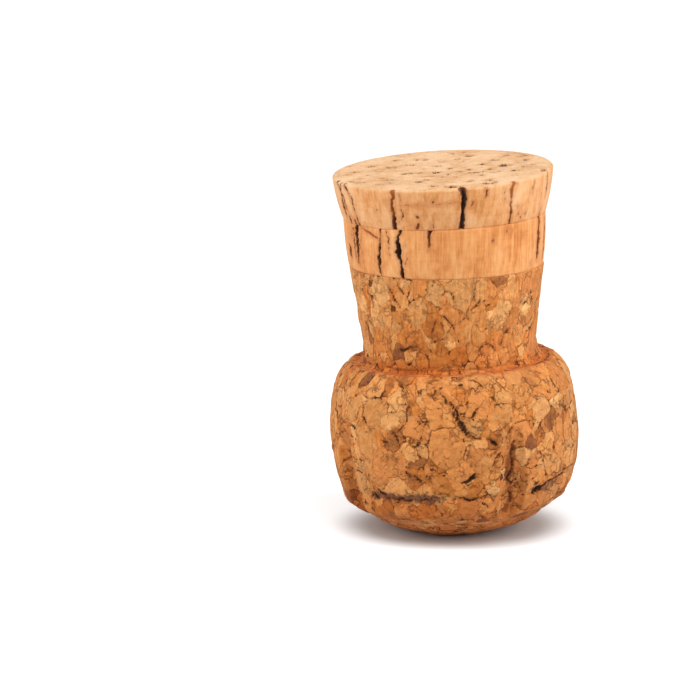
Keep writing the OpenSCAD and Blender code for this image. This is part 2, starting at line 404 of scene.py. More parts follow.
outline = body_outline()
rows = even_steps(outline, BODY_STEP)
rows = np.r_[[[DOME_RING_R, rows[0, 1]]], rows, [[radius, GLUE_Z] for radius in GLUE_RINGS_R]]
turn = np.linspace(0.0, 360.0, BODY_COLUMNS, endpoint=False)[None, :]
side, front = np.sin(np.radians(turn)), -np.cos(np.radians(turn))
r, z = rows[:, :1] + 0.0 * turn, rows[:, 1:] + 0.0 * turn
on_side = rise(rows[:, :1], ARC_FROM_R, RELIEF_FROM_R) * (rows[:, 1:] < GLUE_Z - 0.05)

# The crease wanders, and the part under it was held in by the cap.
crease_z = CREASE_Z + 0.05 + round_bell(turn, *CREASE_RISE) - round_bell(turn, *CREASE_DROP)
round_head = np.stack(np.broadcast_arrays(side * 16, front * 16, 0 * turn), axis=-1)
crease_z = crease_z + 0.12 * noise(round_head, 5.0, 3)
where = np.stack([r * side, r * front, z], axis=-1)
ragged = 0.65 + 0.6 * noise(where, 1.6, 4)
r = r - CREASE_DEPTH * hump(z, crease_z, CREASE_WIDTH) * ragged * on_side
r = r - CAP_SQUEEZE * (1.0 - rise(z, crease_z - 0.5, crease_z + 0.1)) * rise(z, 2.4, 4.5) * on_side

# The neck runs into the flat ring in a wider hollow on the right, and the rim is flatter there.
in_corner = hump(z, SEAT_Z - 0.1, 1.1) * (z > SEAT_Z - 0.3) * (rows[:, :1] < CORNER_END_R)
r = r + round_bell(turn, *CORNER_HOLLOW) * in_corner
r = r - round_bell(turn, *RIM_FLAT) * hump(z, 4.4, 1.6) * on_side

# Uneven moulding, broad on the head and finer on the shank.
where = np.stack([r * side, r * front, z], axis=-1)
broad = BROAD_UNEVEN[0] * noise(where, BROAD_UNEVEN[1], 5)
fine = FINE_UNEVEN[0] * noise(where, FINE_UNEVEN[1], 6)
r = r + (broad + fine) * on_side

x, y = r * side, r * front
for wire_turn, depth in WIRES:
    # A round bar leaned against the head, deepest at the crease and running out up the side.
    out_x, out_y = math.sin(math.radians(wire_turn)), -math.cos(math.radians(wire_turn))
    low_x = belly_r(CREASE_Z) - depth + WIRE_CURVE
    top_x = belly_r(WIRE_TOP) + WIRE_CURVE
    tilt = (top_x - low_x) / (WIRE_TOP - CREASE_Z)
    out, across = x * out_x + y * out_y, y * out_x - x * out_y
    across = across + 0.25 * noise(where, 2.5, 7)
    bar = np.sqrt(np.maximum(WIRE_CURVE**2 - across**2, 0.0)) * math.hypot(1.0, tilt)
    surface = low_x + (z - CREASE_Z) * tilt - bar
    under_bar = (np.abs(across) < WIRE_CURVE) & (out > 0) & (rows[:, :1] > WIRE_INNER_R)
    cut = np.where(under_bar, np.maximum(out - surface, 0.0), 0.0) * on_side
    x, y = x - cut * out_x, y - cut * out_y

# Granules are laid out in the loose stock, before the neck was squeezed in.
upper = outline[outline[:, 1] >= CREASE_Z]
squeeze = HEAD_R / np.interp(z, np.maximum.accumulate(upper[:, 1]), upper[:, 0])
stock = np.stack([x * squeeze, y * squeeze, z], axis=-1).reshape(-1, 3)

# Finishes of granules from dark to light, with how common each one is.
FINISHES = {
    "plum": ((0.190, 0.058, 0.020), 1),
    "bark": ((0.250, 0.085, 0.021), 3),
    "russet": ((0.380, 0.108, 0.022), 6),
    "amber": ((0.415, 0.135, 0.024), 8),
    "rose": ((0.440, 0.150, 0.042), 20),
    "orange": ((0.455, 0.160, 0.038), 26),
    "tan": ((0.480, 0.190, 0.053), 26),
    "grey": ((0.465, 0.200, 0.064), 9),
    "straw": ((0.520, 0.225, 0.070), 5),
    "pale": ((0.560, 0.280, 0.100), 1),
}
# The agglomerated cork's colours are typed dark, and share this lift in red, green and blue.
LIFT = (1.45, 1.55, 1.68)
# The granules that stand out: turn from the front in degrees, height, width and finish.
MAIN_GRANULES = [
    (-6, 14.2, 5.6, "orange"), (-9, 17.9, 4.0, "orange"), (-31, 19.0, 3.2, "grey"),
    (-20, 15.9, 3.2, "rose"), (-29, 14.4, 1.9, "bark"), (-41, 17.3, 3.8, "tan"), (-55, 17.8, 2.6, "tan"),
    (-52, 15.2, 2.2, "straw"), (-37, 14.2, 1.4, "amber"), (-35, 11.6, 4.4, "rose"), (-50, 11.0, 2.4, "tan"),
    (-39, 8.9, 2.4, "rose"), (-20, 9.7, 3.0, "russet"), (-9, 8.9, 2.6, "amber"), (1, 11.1, 3.6, "orange"),
    (9, 13.2, 2.2, "rose"), (13, 11.4, 1.6, "tan"), (15, 9.5, 2.6, "orange"), (16, 7.7, 1.8, "orange"),
    (7, 8.2, 2.0, "amber"), (8, 19.2, 3.0, "orange"), (22, 20.0, 2.8, "tan"), (34, 19.4, 2.8, "orange"),
    (16, 16.8, 2.6, "tan"), (32, 14.9, 3.0, "rose"), (45, 17.2, 3.0, "grey"), (33, 17.4, 1.8, "orange"),
    (56, 17.1, 1.8, "straw"), (33, 12.4, 2.6, "straw"), (47, 13.2, 2.8, "tan"), (50, 10.1, 2.8, "tan"),
    (38, 10.0, 2.4, "rose"), (58, 7.4, 2.0, "orange"), (22, 12.4, 1.5, "amber"), (-18, 5.4, 3.2, "russet"),
    (3, 5.6, 3.6, "rose"), (25, 5.0, 2.2, "tan"), (-38, 5.3, 2.4, "russet"), (37, 5.0, 2.6, "tan"),
    (-45, 20.8, 3.2, "tan"), (-61, 20.0, 2.4, "tan"), (-17, 21.0, 2.4, "tan"), (0, 21.6, 2.2, "tan"),
    (13, 21.5, 2.0, "tan"), (32, 21.8, 2.4, "tan"), (50, 20.2, 2.2, "orange"), (64, 13.6, 2.6, "orange"),
    (63, 10.2, 2.2, "tan"), (66, 17.5, 2.4, "tan"), (-7, 32.6, 3.0, "straw"), (-10, 28.6, 3.6, "russet"),
    (-17, 33.6, 3.0, "rose"), (-32, 32.0, 2.6, "tan"), (-47, 32.6, 3.6, "straw"), (-51, 26.6, 3.4, "amber"),
    (7, 32.7, 3.4, "grey"), (18, 33.4, 2.0, "tan"), (37, 32.8, 3.0, "tan"), (35, 30.0, 3.4, "straw"),
    (22, 29.9, 2.0, "orange"), (11, 28.6, 3.0, "tan"), (32, 27.0, 3.4, "rose"), (27, 24.4, 2.4, "tan"),
    (53, 26.4, 2.6, "tan"), (-34, 25.2, 2.0, "plum"), (-9, 24.6, 3.4, "amber"), (-68, 31.0, 3.0, "straw"),
    (-75, 26.8, 2.8, "tan"), (-29, 28.8, 2.6, "rose"), (-20, 26.2, 2.0, "russet"), (7, 25.3, 2.4, "russet"),
    (55, 31.0, 2.6, "straw"), (-40, 29.4, 2.4, "tan"),
]
# Radius of each size of chip, and how many of them are tried.
CHIP_SIZES = [(2.1, 200), (1.5, 900), (0.95, 2600), (0.55, 5200)]
# How close two granules may be, as a share of their radii together, and how deep they lie.
CHIP_SPACING, STOCK_DEPTH = 0.74, 6.0
# How far the stock is stirred, after the size of its swirls, in mm.
STIRRED = ((4.2, 0.85), (1.9, 0.50), (0.9, 0.22))


def lay_granules():
    """Centres, radii and finishes: the main granules first, then chips dropped where there is still room."""
    draw = np.random.default_rng(11)
    names = list(FINISHES)
    common = np.array([FINISHES[name][1] for name in names], float)
    turns, heights, widths = (np.array([g[i] for g in MAIN_GRANULES], float) for i in range(3))
    radii = widths / 2
    reach = np.interp(heights, np.maximum.accumulate(upper[:, 1]), upper[:, 0])
    at_side = np.where(heights < CREASE_Z, reach + 0.2, HEAD_R) - 0.3 * radii
    angle = np.radians(turns)
    centres = np.stack([at_side * np.sin(angle), -at_side * np.cos(angle), heights], axis=-1)
    finish = np.array([names.index(g[3]) for g in MAIN_GRANULES], float)
    for radius, tries in CHIP_SIZES:
        angle = draw.uniform(0.0, 2 * np.pi, tries)
        height = draw.uniform(-1.5, GLUE_Z + 2.0, tries)
        inner = np.where(height < 6.0, 0.0, HEAD_R - STOCK_DEPTH)
        distance = np.sqrt(draw.uniform(inner**2, (HEAD_R + 1.5) ** 2))
        spots = np.stack([distance * np.sin(angle), distance * np.cos(angle), height], axis=-1)
        sizes = radius * draw.uniform(0.8, 1.2, tries)
        for spot, size in zip(spots, sizes):
            if np.all(np.linalg.norm(centres - spot, axis=1) > CHIP_SPACING * (radii + size)):
                centres, radii = np.vstack([centres, spot]), np.append(radii, size)
                finish = np.append(finish, draw.choice(len(names), p=common / common.sum()))
    finish = (finish + draw.uniform(-0.35, 0.35, len(finish))) / (len(names) - 1)
    return centres, radii, np.clip(finish, 0.0, 1.0), draw


def nearest_three(places, centres, radii):
    """The three granules nearest to each place, by squared distance less squared radius."""
    found = []
    for part in np.array_split(places, max(1, len(places) // 8000)):
        far = (part**2).sum(1)[:, None] - 2.0 * part @ centres.T + ((centres**2).sum(1) - radii**2)[None, :]
        three = np.argpartition(far, 3, axis=1)[:, :3]
        order = np.argsort(np.take_along_axis(far, three, axis=1), axis=1)
        found.append(np.take_along_axis(three, order, axis=1))
    return np.concatenate(found)


def seam_distances(places, three, centres, radii):
    """How far each place is from the seams a-b, a-c and b-c of its three granules.

    It is the difference of the two squared distances over twice the centres' distance, positive on the
    first granule's side."""
    far = ((places[:, None, :] - centres[three]) ** 2).sum(-1) - radii[three] ** 2
    distances = []
    for first, second in ((0, 1), (0, 2), (1, 2)):
        apart = np.linalg.norm(centres[three[:, first]] - centres[three[:, second]], axis=1)
        distances.append((far[:, second] - far[:, first]) / (2.0 * apart))
    return np.stack(distances, axis=-1)


centres, radii, finish, draw = lay_granules()
brightness = draw.uniform(0.0, 1.0, len(radii))
grain_turn = draw.uniform(0.0, 1.0, len(radii))
bulge = draw.normal(0.0, 0.05, len(radii))
# How strongly the glue shows between two granules: the same chance for a pair from either side.
pair_chance = draw.random((len(radii), len(radii)), dtype=np.float32)


def glue_strengths(three):
    """How dark the seams a-b, a-c and b-c are drawn, from 0 to 1; nearly half of them hardly show."""
    pairs = np.stack([three[:, [0, 1]], three[:, [0, 2]], three[:, [1, 2]]], axis=1)
    return rise(pair_chance[pairs.min(axis=-1), pairs.max(axis=-1)], 0.34, 1.0)


# Chips tear unevenly: the stock is stirred, broadly and finely, before the seams are read.
stirred = stock
for size, reach in STIRRED:
    stirred = stirred + reach * np.stack([noise(stock, size, int(size * 10) + i) for i in range(3)], axis=-1)

# Cracks and torn corners between granules, and lines along the crease, painted black as shade where they
# are open. Each runs through its points: turn from the front in degrees, height, width, and how brown it is,
# from 0 for black to 1.
CRACKS = [
    [(-7.3, 20.7, 0.3, 0.5), (-4.9, 20.2, 0.35, 0.4), (-4.6, 19.7, 0.45, 0.2), (-3.0, 19.2, 0.2, 0.4)],
    [(-3.4, 20.0, 0.24, 0.5), (-1.4, 19.4, 0.36, 0.1), (0.4, 18.5, 0.46, 0.05), (1.4, 17.6, 0.4, 0.1),
     (2.8, 16.8, 0.6, 0.1), (4.6, 16.0, 0.44, 0.1), (6.2, 15.4, 0.36, 0.2), (8.6, 15.0, 0.3, 0.3),
     (11.0, 14.8, 0.24, 0.4)],
    [(-2.6, 18.9, 0.24, 0.5), (-0.4, 17.9, 0.3, 0.3), (1.4, 16.7, 0.36, 0.1), (3.6, 16.0, 0.5, 0.1),
     (5.2, 15.2, 0.24, 0.4)],
    [(2.6, 17.3, 0.24, 0.3), (4.4, 16.9, 0.24, 0.3), (5.4, 16.4, 0.2, 0.5)],
    [(-15.0, 22.0, 0.16, 0.7), (-11.5, 21.8, 0.2, 0.6), (-9.5, 21.0, 0.26, 0.4), (-10.8, 20.5, 0.3, 0.4),
     (-12.6, 20.4, 0.16, 0.6)],
    [(7.6, 15.2, 0.2, 0.4), (13.4, 14.7, 0.16, 0.5), (19.4, 14.9, 0.14, 0.6)],
    [(10.4, 18.9, 0.16, 0.6), (8.5, 18.1, 0.5, 0.3), (7.2, 17.6, 0.2, 0.5)],
    [(-20.3, 14.0, 0.2, 0.5), (-18.6, 14.0, 0.5, 0.1), (-17.2, 14.5, 0.34, 0.3), (-16.1, 15.3, 0.2, 0.5),
     (-14.9, 16.3, 0.24, 0.4), (-14.0, 17.2, 0.4, 0.4), (-12.0, 17.4, 0.14, 0.6)],
    [(-18.0, 17.6, 0.2, 0.5), (-16.6, 17.1, 0.5, 0.3), (-15.4, 17.2, 0.24, 0.5)],
    [(14.8, 14.6, 0.25, 0.3), (16.8, 14.2, 0.75, 0.0), (18.4, 13.8, 0.3, 0.2)],
    [(17.0, 15.2, 0.1, 0.6), (20.0, 15.2, 0.2, 0.4)],
    [(-36.8, 14.6, 0.2, 0.5), (-35.4, 14.3, 0.5, 0.3), (-33.4, 14.3, 0.2, 0.5)],
    [(-28.9, 21.6, 0.3, 0.4), (-27.2, 21.3, 0.46, 0.1), (-25.8, 20.7, 0.2, 0.5), (-23.6, 18.8, 0.24, 0.5),
     (-23.4, 17.2, 0.24, 0.5), (-26.0, 16.2, 0.3, 0.5), (-28.6, 15.4, 0.2, 0.5)],
    [(-57.6, 16.0, 0.4, 0.2), (-53.0, 15.5, 0.4, 0.3)],
    [(-47.9, 17.1, 0.5, 0.2), (-45.6, 16.4, 0.3, 0.3)],
    [(-30.9, 15.7, 0.4, 0.3), (-28.4, 15.0, 0.4, 0.2), (-27.0, 14.0, 0.25, 0.4), (-26.1, 13.2, 0.2, 0.5)],
    [(-24.4, 10.6, 0.35, 0.2), (-22.0, 10.0, 0.4, 0.3)],
    [(-20.0, 10.3, 0.2, 0.4), (-17.8, 9.5, 0.5, 0.1)],
    [(-14.2, 10.2, 0.24, 0.3), (-13.8, 9.4, 0.24, 0.3)],
    [(2.0, 9.1, 0.4, 0.1), (4.5, 9.3, 0.42, 0.0), (6.6, 9.9, 0.75, 0.05), (8.0, 10.4, 0.2, 0.4)],
    [(-46.5, 6.6, 0.35, 0.3), (-45.0, 7.0, 0.4, 0.1), (-42.5, 6.5, 0.4, 0.3)],
    [(-41.0, 7.9, 0.35, 0.3), (-39.4, 7.4, 0.6, 0.0), (-37.4, 7.0, 0.4, 0.1)],
    [(-36.4, 6.7, 0.4, 0.2), (-33.0, 6.9, 0.2, 0.5), (-30.4, 6.7, 0.42, 0.1), (-28.0, 6.95, 0.3, 0.2),
     (-25.0, 6.6, 0.4, 0.1), (-22.0, 6.9, 0.24, 0.3), (-19.0, 6.75, 0.34, 0.1), (-15.0, 6.95, 0.2, 0.3),
     (-11.5, 6.8, 0.26, 0.3)],
    [(-32.0, 6.3, 0.3, 0.3), (-29.0, 6.4, 0.2, 0.5)],
    [(-23.0, 7.4, 0.24, 0.3), (-21.0, 7.3, 0.2, 0.5)],
    [(-2.0, 7.0, 0.26, 0.3), (1.0, 7.1, 0.24, 0.4), (4.4, 6.8, 0.52, 0.1), (6.4, 6.75, 0.42, 0.15),
     (9.0, 6.85, 0.3, 0.2), (12.8, 7.1, 0.28, 0.2), (15.0, 7.2, 0.14, 0.5)],
    [(11.5, 6.2, 0.3, 0.3), (13.2, 5.9, 0.3, 0.3), (15.4, 5.4, 0.2, 0.5)],
    [(39.6, 6.6, 0.6, 0.1), (42.4, 7.0, 0.85, 0.0), (45.0, 7.2, 0.45, 0.0), (49.0, 7.55, 0.6, 0.05),
     (53.0, 7.75, 0.4, 0.0), (56.0, 7.95, 0.38, 0.1), (60.5, 8.15, 0.36, 0.1), (67.0, 8.35, 0.36, 0.15),
     (74.0, 8.5, 0.32, 0.2)],
    [(26.4, 16.1, 0.3, 0.8), (24.7, 15.2, 0.42, 0.75), (23.2, 14.3, 0.3, 0.85)],
    [(27.9, 13.9, 0.4, 0.5), (27.0, 12.4, 0.45, 0.5), (27.8, 11.2, 0.4, 0.4), (28.4, 10.0, 0.35, 0.3),
     (26.4, 8.9, 0.6, 0.3), (28.4, 8.0, 0.3, 0.4), (30.4, 8.6, 0.2, 0.5)],
    [(22.2, 11.2, 0.5, 0.3), (23.6, 11.9, 0.2, 0.6)],
    [(29.2, 9.8, 0.2, 0.5), (31.6, 8.0, 0.26, 0.5), (33.0, 7.0, 0.2, 0.6)],
    [(28.0, 7.2, 0.3, 0.5), (29.0, 6.4, 0.45, 0.4), (29.6, 5.4, 0.3, 0.5)],
    [(30.4, 4.9, 0.3, 0.4), (33.0, 4.9, 0.2, 0.5)],
    [(36.4, 27.4, 0.2, 0.5), (36.4, 26.2, 0.34, 0.4), (33.8, 25.6, 0.2, 0.6)],
    [(40.2, 27.5, 0.2, 0.6), (37.6, 27.0, 0.2, 0.6)],
    [(18.0, 25.2, 0.2, 0.6), (20.0, 25.7, 0.24, 0.5), (24.0, 26.0, 0.2, 0.6), (28.0, 25.6, 0.26, 0.5),
     (30.5, 24.9, 0.2, 0.5)],
    [(-8.6, 29.4, 0.3, 0.3), (-10.4, 28.5, 0.2, 0.5), (-12.6, 27.4, 0.2, 0.6)],
    [(-13.0, 26.6, 0.2, 0.6), (-8.0, 26.9, 0.2, 0.5), (-3.0, 27.2, 0.16, 0.6)],
    [(-3.0, 30.0, 0.4, 0.4), (0.5, 29.2, 0.3, 0.3), (2.6, 28.5, 0.3, 0.4)],
    [(4.6, 29.0, 0.16, 0.6), (9.0, 29.8, 0.22, 0.5), (12.4, 29.6, 0.2, 0.6)],
    [(-4.6, 32.6, 0.2, 0.5), (-2.0, 33.4, 0.26, 0.4), (1.6, 33.1, 0.3, 0.4), (3.6, 32.0, 0.2, 0.6)],
    [(16.6, 31.2, 0.4, 0.3), (19.4, 32.2, 0.2, 0.5)],
    [(-38.0, 33.8, 0.2, 0.4), (-34.6, 32.2, 0.34, 0.3), (-31.0, 31.0, 0.2, 0.5)],
    [(-32.0, 34.2, 0.2, 0.4), (-28.0, 33.0, 0.3, 0.4)],
    [(-33.5, 25.4, 0.5, 0.4), (-30.4, 25.6, 0.4, 0.3), (-26.0, 26.0, 0.3, 0.4), (-22.0, 26.0, 0.2, 0.5)],
    [(-29.0, 23.6, 0.5, 0.2), (-26.4, 23.9, 0.3, 0.5)],
    [(58.0, 17.8, 0.2, 0.4), (61.0, 17.0, 0.3, 0.3), (64.0, 16.2, 0.3, 0.3)],
    [(66.0, 17.6, 0.2, 0.4), (60.0, 16.0, 0.2, 0.4)],
]

# How much each crack's half width is taken in, because its edges fray outwards, and its depth, in mm.
CRACK_THINNED, CRACK_DEPTH = 0.06, 0.45
# How much a granule swells between its seams.
SWELL = 0.06


def slit_edges(turn, height, radius, slits):
    """Distance to the edge of the nearest slit on a rolled-out side, below 0 inside it, and its filling.

    Each slit is a chain of lines; the distance to a line is less half of the width at its nearest point."""
    nearest, filling = np.full(turn.shape, 9.0), np.zeros(turn.shape)
    for slit in slits:
        for (t0, z0, w0, f0), (t1, z1, w1, f1) in zip(slit, slit[1:]):
            across, up = turn_from(turn, t0) * np.radians(radius), height - z0
            run_across, run_up = np.radians(t1 - t0) * radius, z1 - z0
            share = np.clip((across * run_across + up * run_up) / (run_across**2 + run_up**2), 0.0, 1.0)
            edge = np.hypot(across - share * run_across, up - share * run_up) - (w0 + share * (w1 - w0)) / 2
            filling = np.where(edge < nearest, f0 + share * (f1 - f0), filling)
            nearest = np.minimum(nearest, edge)
    return nearest, filling


# Each granule swells a little between its seams and stands higher or lower than the next; cracks gape.
three = nearest_three(stirred, centres, radii)
seams = seam_distances(stirred, three, centres, radii)
to_seam = np.minimum(seams[:, 0], seams[:, 1]).reshape(x.shape)
lift = SWELL * (rise(to_seam, 0.0, 0.5) - 1.0) + bulge[three[:, 0]].reshape(x.shape) * rise(to_seam, 0.0, 0.3)
where = np.stack([x, y, z], axis=-1)
torn = turn + 0.10 * noise(where, 0.8, 35) / np.radians(15.0) + 0.0 * z
crack, crack_filling = slit_edges(torn, z + 0.10 * noise(where, 0.8, 36), np.clip(r, 11.0, 15.5), CRACKS)
crack = crack + CRACK_THINNED
lift = lift - CRACK_DEPTH * (1.0 - 0.5 * crack_filling) * rise(-crack, -0.12, 0.25)
grid = where + (lift * on_side)[..., None] * outward(where)

# The shank stands off the head's axis, and its glued face slopes.
shank_share = 1.0 - rise(rows[:, :1], NECK_R + SEAT_ROUND, OFFSET_END_R) * (rows[:, 1:] < SEAT_Z + 0.2)
shank_share = shank_share * (rows[:, 1:] > SEAT_Z - 1.0)
grid[..., 2] -= math.tan(GLUE_SLOPE) * grid[..., 0] * rise(grid[..., 2], 26.0, GLUE_Z)
grid[..., 0] -= SHANK_OFFSET * shank_share

count = grid.shape[0] * BODY_COLUMNS
places = np.concatenate([grid.reshape(-1, 3), [[0.0, 0.0, 0.0], [-SHANK_OFFSET, 0.0, GLUE_Z]]])
quads = ring_faces(grid.shape[0], BODY_COLUMNS)
first_ring, last_ring = np.arange(BODY_COLUMNS), np.arange(count - BODY_COLUMNS, count)
triangles = np.concatenate([fan_faces(first_ring, count, False), fan_faces(last_ring, count + 1, True)])


def stretch(turns, start, end, soft=4.0):
    """1 between two turns in degrees, fading out over a soft edge."""
    half = (end - start) / 2
    return 1.0 - rise(np.abs(turn_from(turns, start + half)), half - soft, half + soft)


def from_ring(radius, height):
    """How far each row of the body is from a ring round its axis, in mm."""
    return np.hypot(rows[:, :1] - radius, rows[:, 1:] - height)


def with_poles(values, at_pole=(0.0, 0.0, 0.0)):
    """A grid of vectors as a list, with one more for each of the two poles."""
    return np.concatenate([values.reshape(-1, 3), [at_pole] * 2])


def capped(edge):
    """Edge distances kept within the range in which materials see a difference."""
    return np.clip(edge, DEEP_INSIDE, FAR_OUTSIDE)


# Radius and height of the rings round which the neck is darkened, by stain and by painted shade, and of
# the head's upper edge, where a highlight is painted.
STAIN_AND_SHADE_CORNER, STAIN_AND_SHADE_RING = (11.75, 22.55), (12.1, 22.35)
DARK_CORNER, UPPER_EDGE = (11.38, 22.98), (13.3, 21.6)
# Height of the thin pale line painted low on the dome as a highlight.
HIGHLIGHT_LINE_Z = 2.85
# Strength of the soot in each bruised part of the crease, and from which turn to which it lies.
BRUISES = [(1.0, -47, -8), (0.55, -2, 15), (0.8, 38, 58)]
DEEP_INSIDE, FAR_OUTSIDE = -1.0, 2.0

# Marks: soot along the crease; a warm stain on the lower shank; warm stain with painted shade round the
# neck's corner and the flat ring, and painted shade with some stain under the crease; and a darker, redder
# stain with painted shade in the neck's corner and in the prints of the wires.
patchy = noise(where, 2.2, 31)
bruised = [strength * stretch(turn, start, end) for strength, start, end in BRUISES]
behind = (np.abs(turn_from(turn, 180)) < 105) * rise(noise(where, 6.0, 32), 0.0, 0.4)
along_crease = hump(z, crease_z - 0.15 + 0.3 * patchy, 0.66)
soot = np.maximum(np.maximum.reduce(bruised), 0.9 * behind) * along_crease * (0.75 + 0.6 * patchy)
soot = np.maximum(soot, 0.55 * hump(turn_from(turn, -20), 0, 8) * hump(z, 9.9, 0.8) * (0.8 + 0.6 * patchy))
low_shank = rise(noise(where, 5.0, 33), 0.1, 0.6) * hump(z, 25.0, 2.5)
# Warm round the neck's corner, stain with painted shade, and on the lower shank, stain.
warm = 0.6 * hump(from_ring(*STAIN_AND_SHADE_CORNER), 0.0, 1.2) * (0.8 + 0.4 * patchy) + 0.45 * low_shank
# Under the crease, where the dome faces down, darker and warmer: painted shade, with some stain.
warm = warm + 0.40 * (1.0 - rise(z, crease_z - 0.6, crease_z + 0.2))
# Round the flat ring, in patches: warm stain, with painted shade in this corner.
ring_stain_and_shade = rise(noise(where, 4.0, 38), -0.4, 0.3)
warm = warm + 0.9 * ring_stain_and_shade * hump(from_ring(*STAIN_AND_SHADE_RING), 0.0, 1.0)
# Darker and redder in the neck's corner and up the wires' grooves: stain, and painted shade in these hollows.
deep = 0.85 * hump(from_ring(*DARK_CORNER), 0.0, 0.20) * (0.7 + 0.7 * patchy)
wire_stain_and_shade = 0.55 + 0.9 * rise(noise(where, 1.4, 37), -0.5, 0.5)
up_the_head = rise(z, 3.4, 5.0) * (1.0 - rise(z, 12.6, 14.2))
for wire_turn, _ in WIRES:
    off = turn_from(turn, wire_turn) * np.radians(1.0) * r
    deep = deep + wire_stain_and_shade * hump(off - 0.15 + 0.55 * patchy, 0.0, 0.62) * up_the_head
marks = with_poles(np.clip(np.stack([soot, warm, deep], axis=-1), 0.0, 1.0) * on_side[..., None])
# Painted highlights: a thin pale line low on the dome, and the head's upper edge in places.
# The shank is rubbed pale as well.
painted_highlight = hump(z, HIGHLIGHT_LINE_Z + 0.12 * patchy, 0.17) * rise(noise(where, 3.0, 34), -0.5, 0.3)
painted_highlight = painted_highlight + 0.6 * hump(from_ring(*UPPER_EDGE), 0.0, 0.45) * rise(patchy, -0.4, 0.6)
highlight_marks = with_poles(np.stack([np.clip(painted_highlight, 0.0, 1.0) * on_side, 0.0 * painted_highlight, 0.0 * painted_highlight], axis=-1))
rubbed = rise(z, 22.7, 26.0) * (0.8 + 0.3 * patchy)
cracks = with_poles(np.stack([capped(crack), crack_filling, rubbed], axis=-1), (FAR_OUTSIDE, 0.0, 0.0))


def new_group(name, inputs, outputs):
    """A shared node group, its nodes and its inputs: a place in mm, and plain numbers."""
    group = bpy.data.node_groups.new(name, "ShaderNodeTree")
    for label in inputs:
        kind = "NodeSocketVector" if label == "Place" else "NodeSocketFloat"
        group.interface.new_socket(label, in_out="INPUT", socket_type=kind)
    for label in outputs:
        group.interface.new_socket(label, in_out="OUTPUT", socket_type="NodeSocketFloat")
    return group, Nodes(group), group.nodes.new("NodeGroupInput").outputs


def close_group(group, results):
    """Joins a group's results to its outputs, in their order, and gives the group."""
    for value, socket in zip(results, group.nodes.new("NodeGroupOutput").inputs):
        group.links.new(value, socket)
    return group


def cork_grain():
    """Shared group: fine streaks along Z of the given place, and the mottling of cut cork."""
    inputs = ("Place", "Streak Scale", "Mottle Scale")
    group, nodes, given = new_group("cork_grain", inputs, ("Streaks", "Mottle"))
    drawn_out = nodes.vector("MULTIPLY", given["Place"], (1.0, 1.0, 0.28))
    streaks = nodes.noise(drawn_out, given["Streak Scale"], 3.0, 0.6)
    mottle = nodes.noise(given["Place"], given["Mottle Scale"], 4.0, 0.62)
    return close_group(group, (streaks, mottle))


def open_pores():
    """Shared group: from the distance to a pore's edge in mm, its ragged opening, brown rim and depth."""
    inputs = ("Place", "Edge", "Rim Width", "Tear")
    group, nodes, given = new_group("open_pores", inputs, ("Opening", "Rim", "Depth"))
    tear = nodes.math("SUBTRACT", nodes.noise(given["Place"], 3.0, 4.0, 0.7), 0.5)
    edge = nodes.math("MULTIPLY_ADD", tear, given["Tear"], given["Edge"])
    opening = nodes.span(edge, -0.06, 0.06, 1.0, 0.0)
    depth = nodes.span(edge, -0.25, 0.05, 1.0, 0.0)
    spread = nodes.math("SUBTRACT", nodes.noise(given["Place"], 1.6, 2.0), 0.42)
    rim = nodes.math("MULTIPLY_ADD", spread, -0.8, edge)
    rim = nodes.math("SUBTRACT", 1.0, nodes.math("DIVIDE", rim, given["Rim Width"]), clamp=True)
    return close_group(group, (opening, rim, depth))


grain_group, pores_group = cork_grain(), open_pores()


def grain(nodes, place, streak_scale, mottle_scale):
    """The shared grain group placed in a material, as its streaks and its mottling."""
    inputs = {"Place": place, "Streak Scale": streak_scale, "Mottle Scale": mottle_scale}
    return nodes.add("Group", inputs, node_tree=grain_group).outputs[:2]


def pores(nodes, place, edge, rim_width, tear):
    """The shared pore group placed in a material, as its opening, rim and depth."""
    inputs = {"Place": place, "Edge": edge, "Rim Width": rim_width, "Tear": tear}
    return nodes.add("Group", inputs, node_tree=pores_group).outputs[:3]


def millimetres(nodes):
    """A place on the piece, from its object's own coordinates in metres."""
    return nodes.scaled(nodes.add("TexCoord", {}).outputs["Object"], 1000.0)


def lifted(red, green, blue):
    """One of the agglomerated cork's colours at its full lightness, as a node socket takes it."""
    return (red * LIFT[0], green * LIFT[1], blue * LIFT[2], 1.0)


def cork_surface(nodes, shader, colour, mottle, dullest, height, relief, strength):
    """Joins colour, roughness and relief, in metres, to a shader: the mottled parts are duller."""
    bump = nodes.add("Bump", {"Height": height, "Distance": relief, "Strength": strength})
    roughness = nodes.span(mottle, 0.2, 0.8, 0.72, dullest)
    for socket, value in (("Base Color", colour), ("Normal", bump.outputs[0]), ("Roughness", roughness)):
        nodes.tree.links.new(value, shader.inputs[socket])


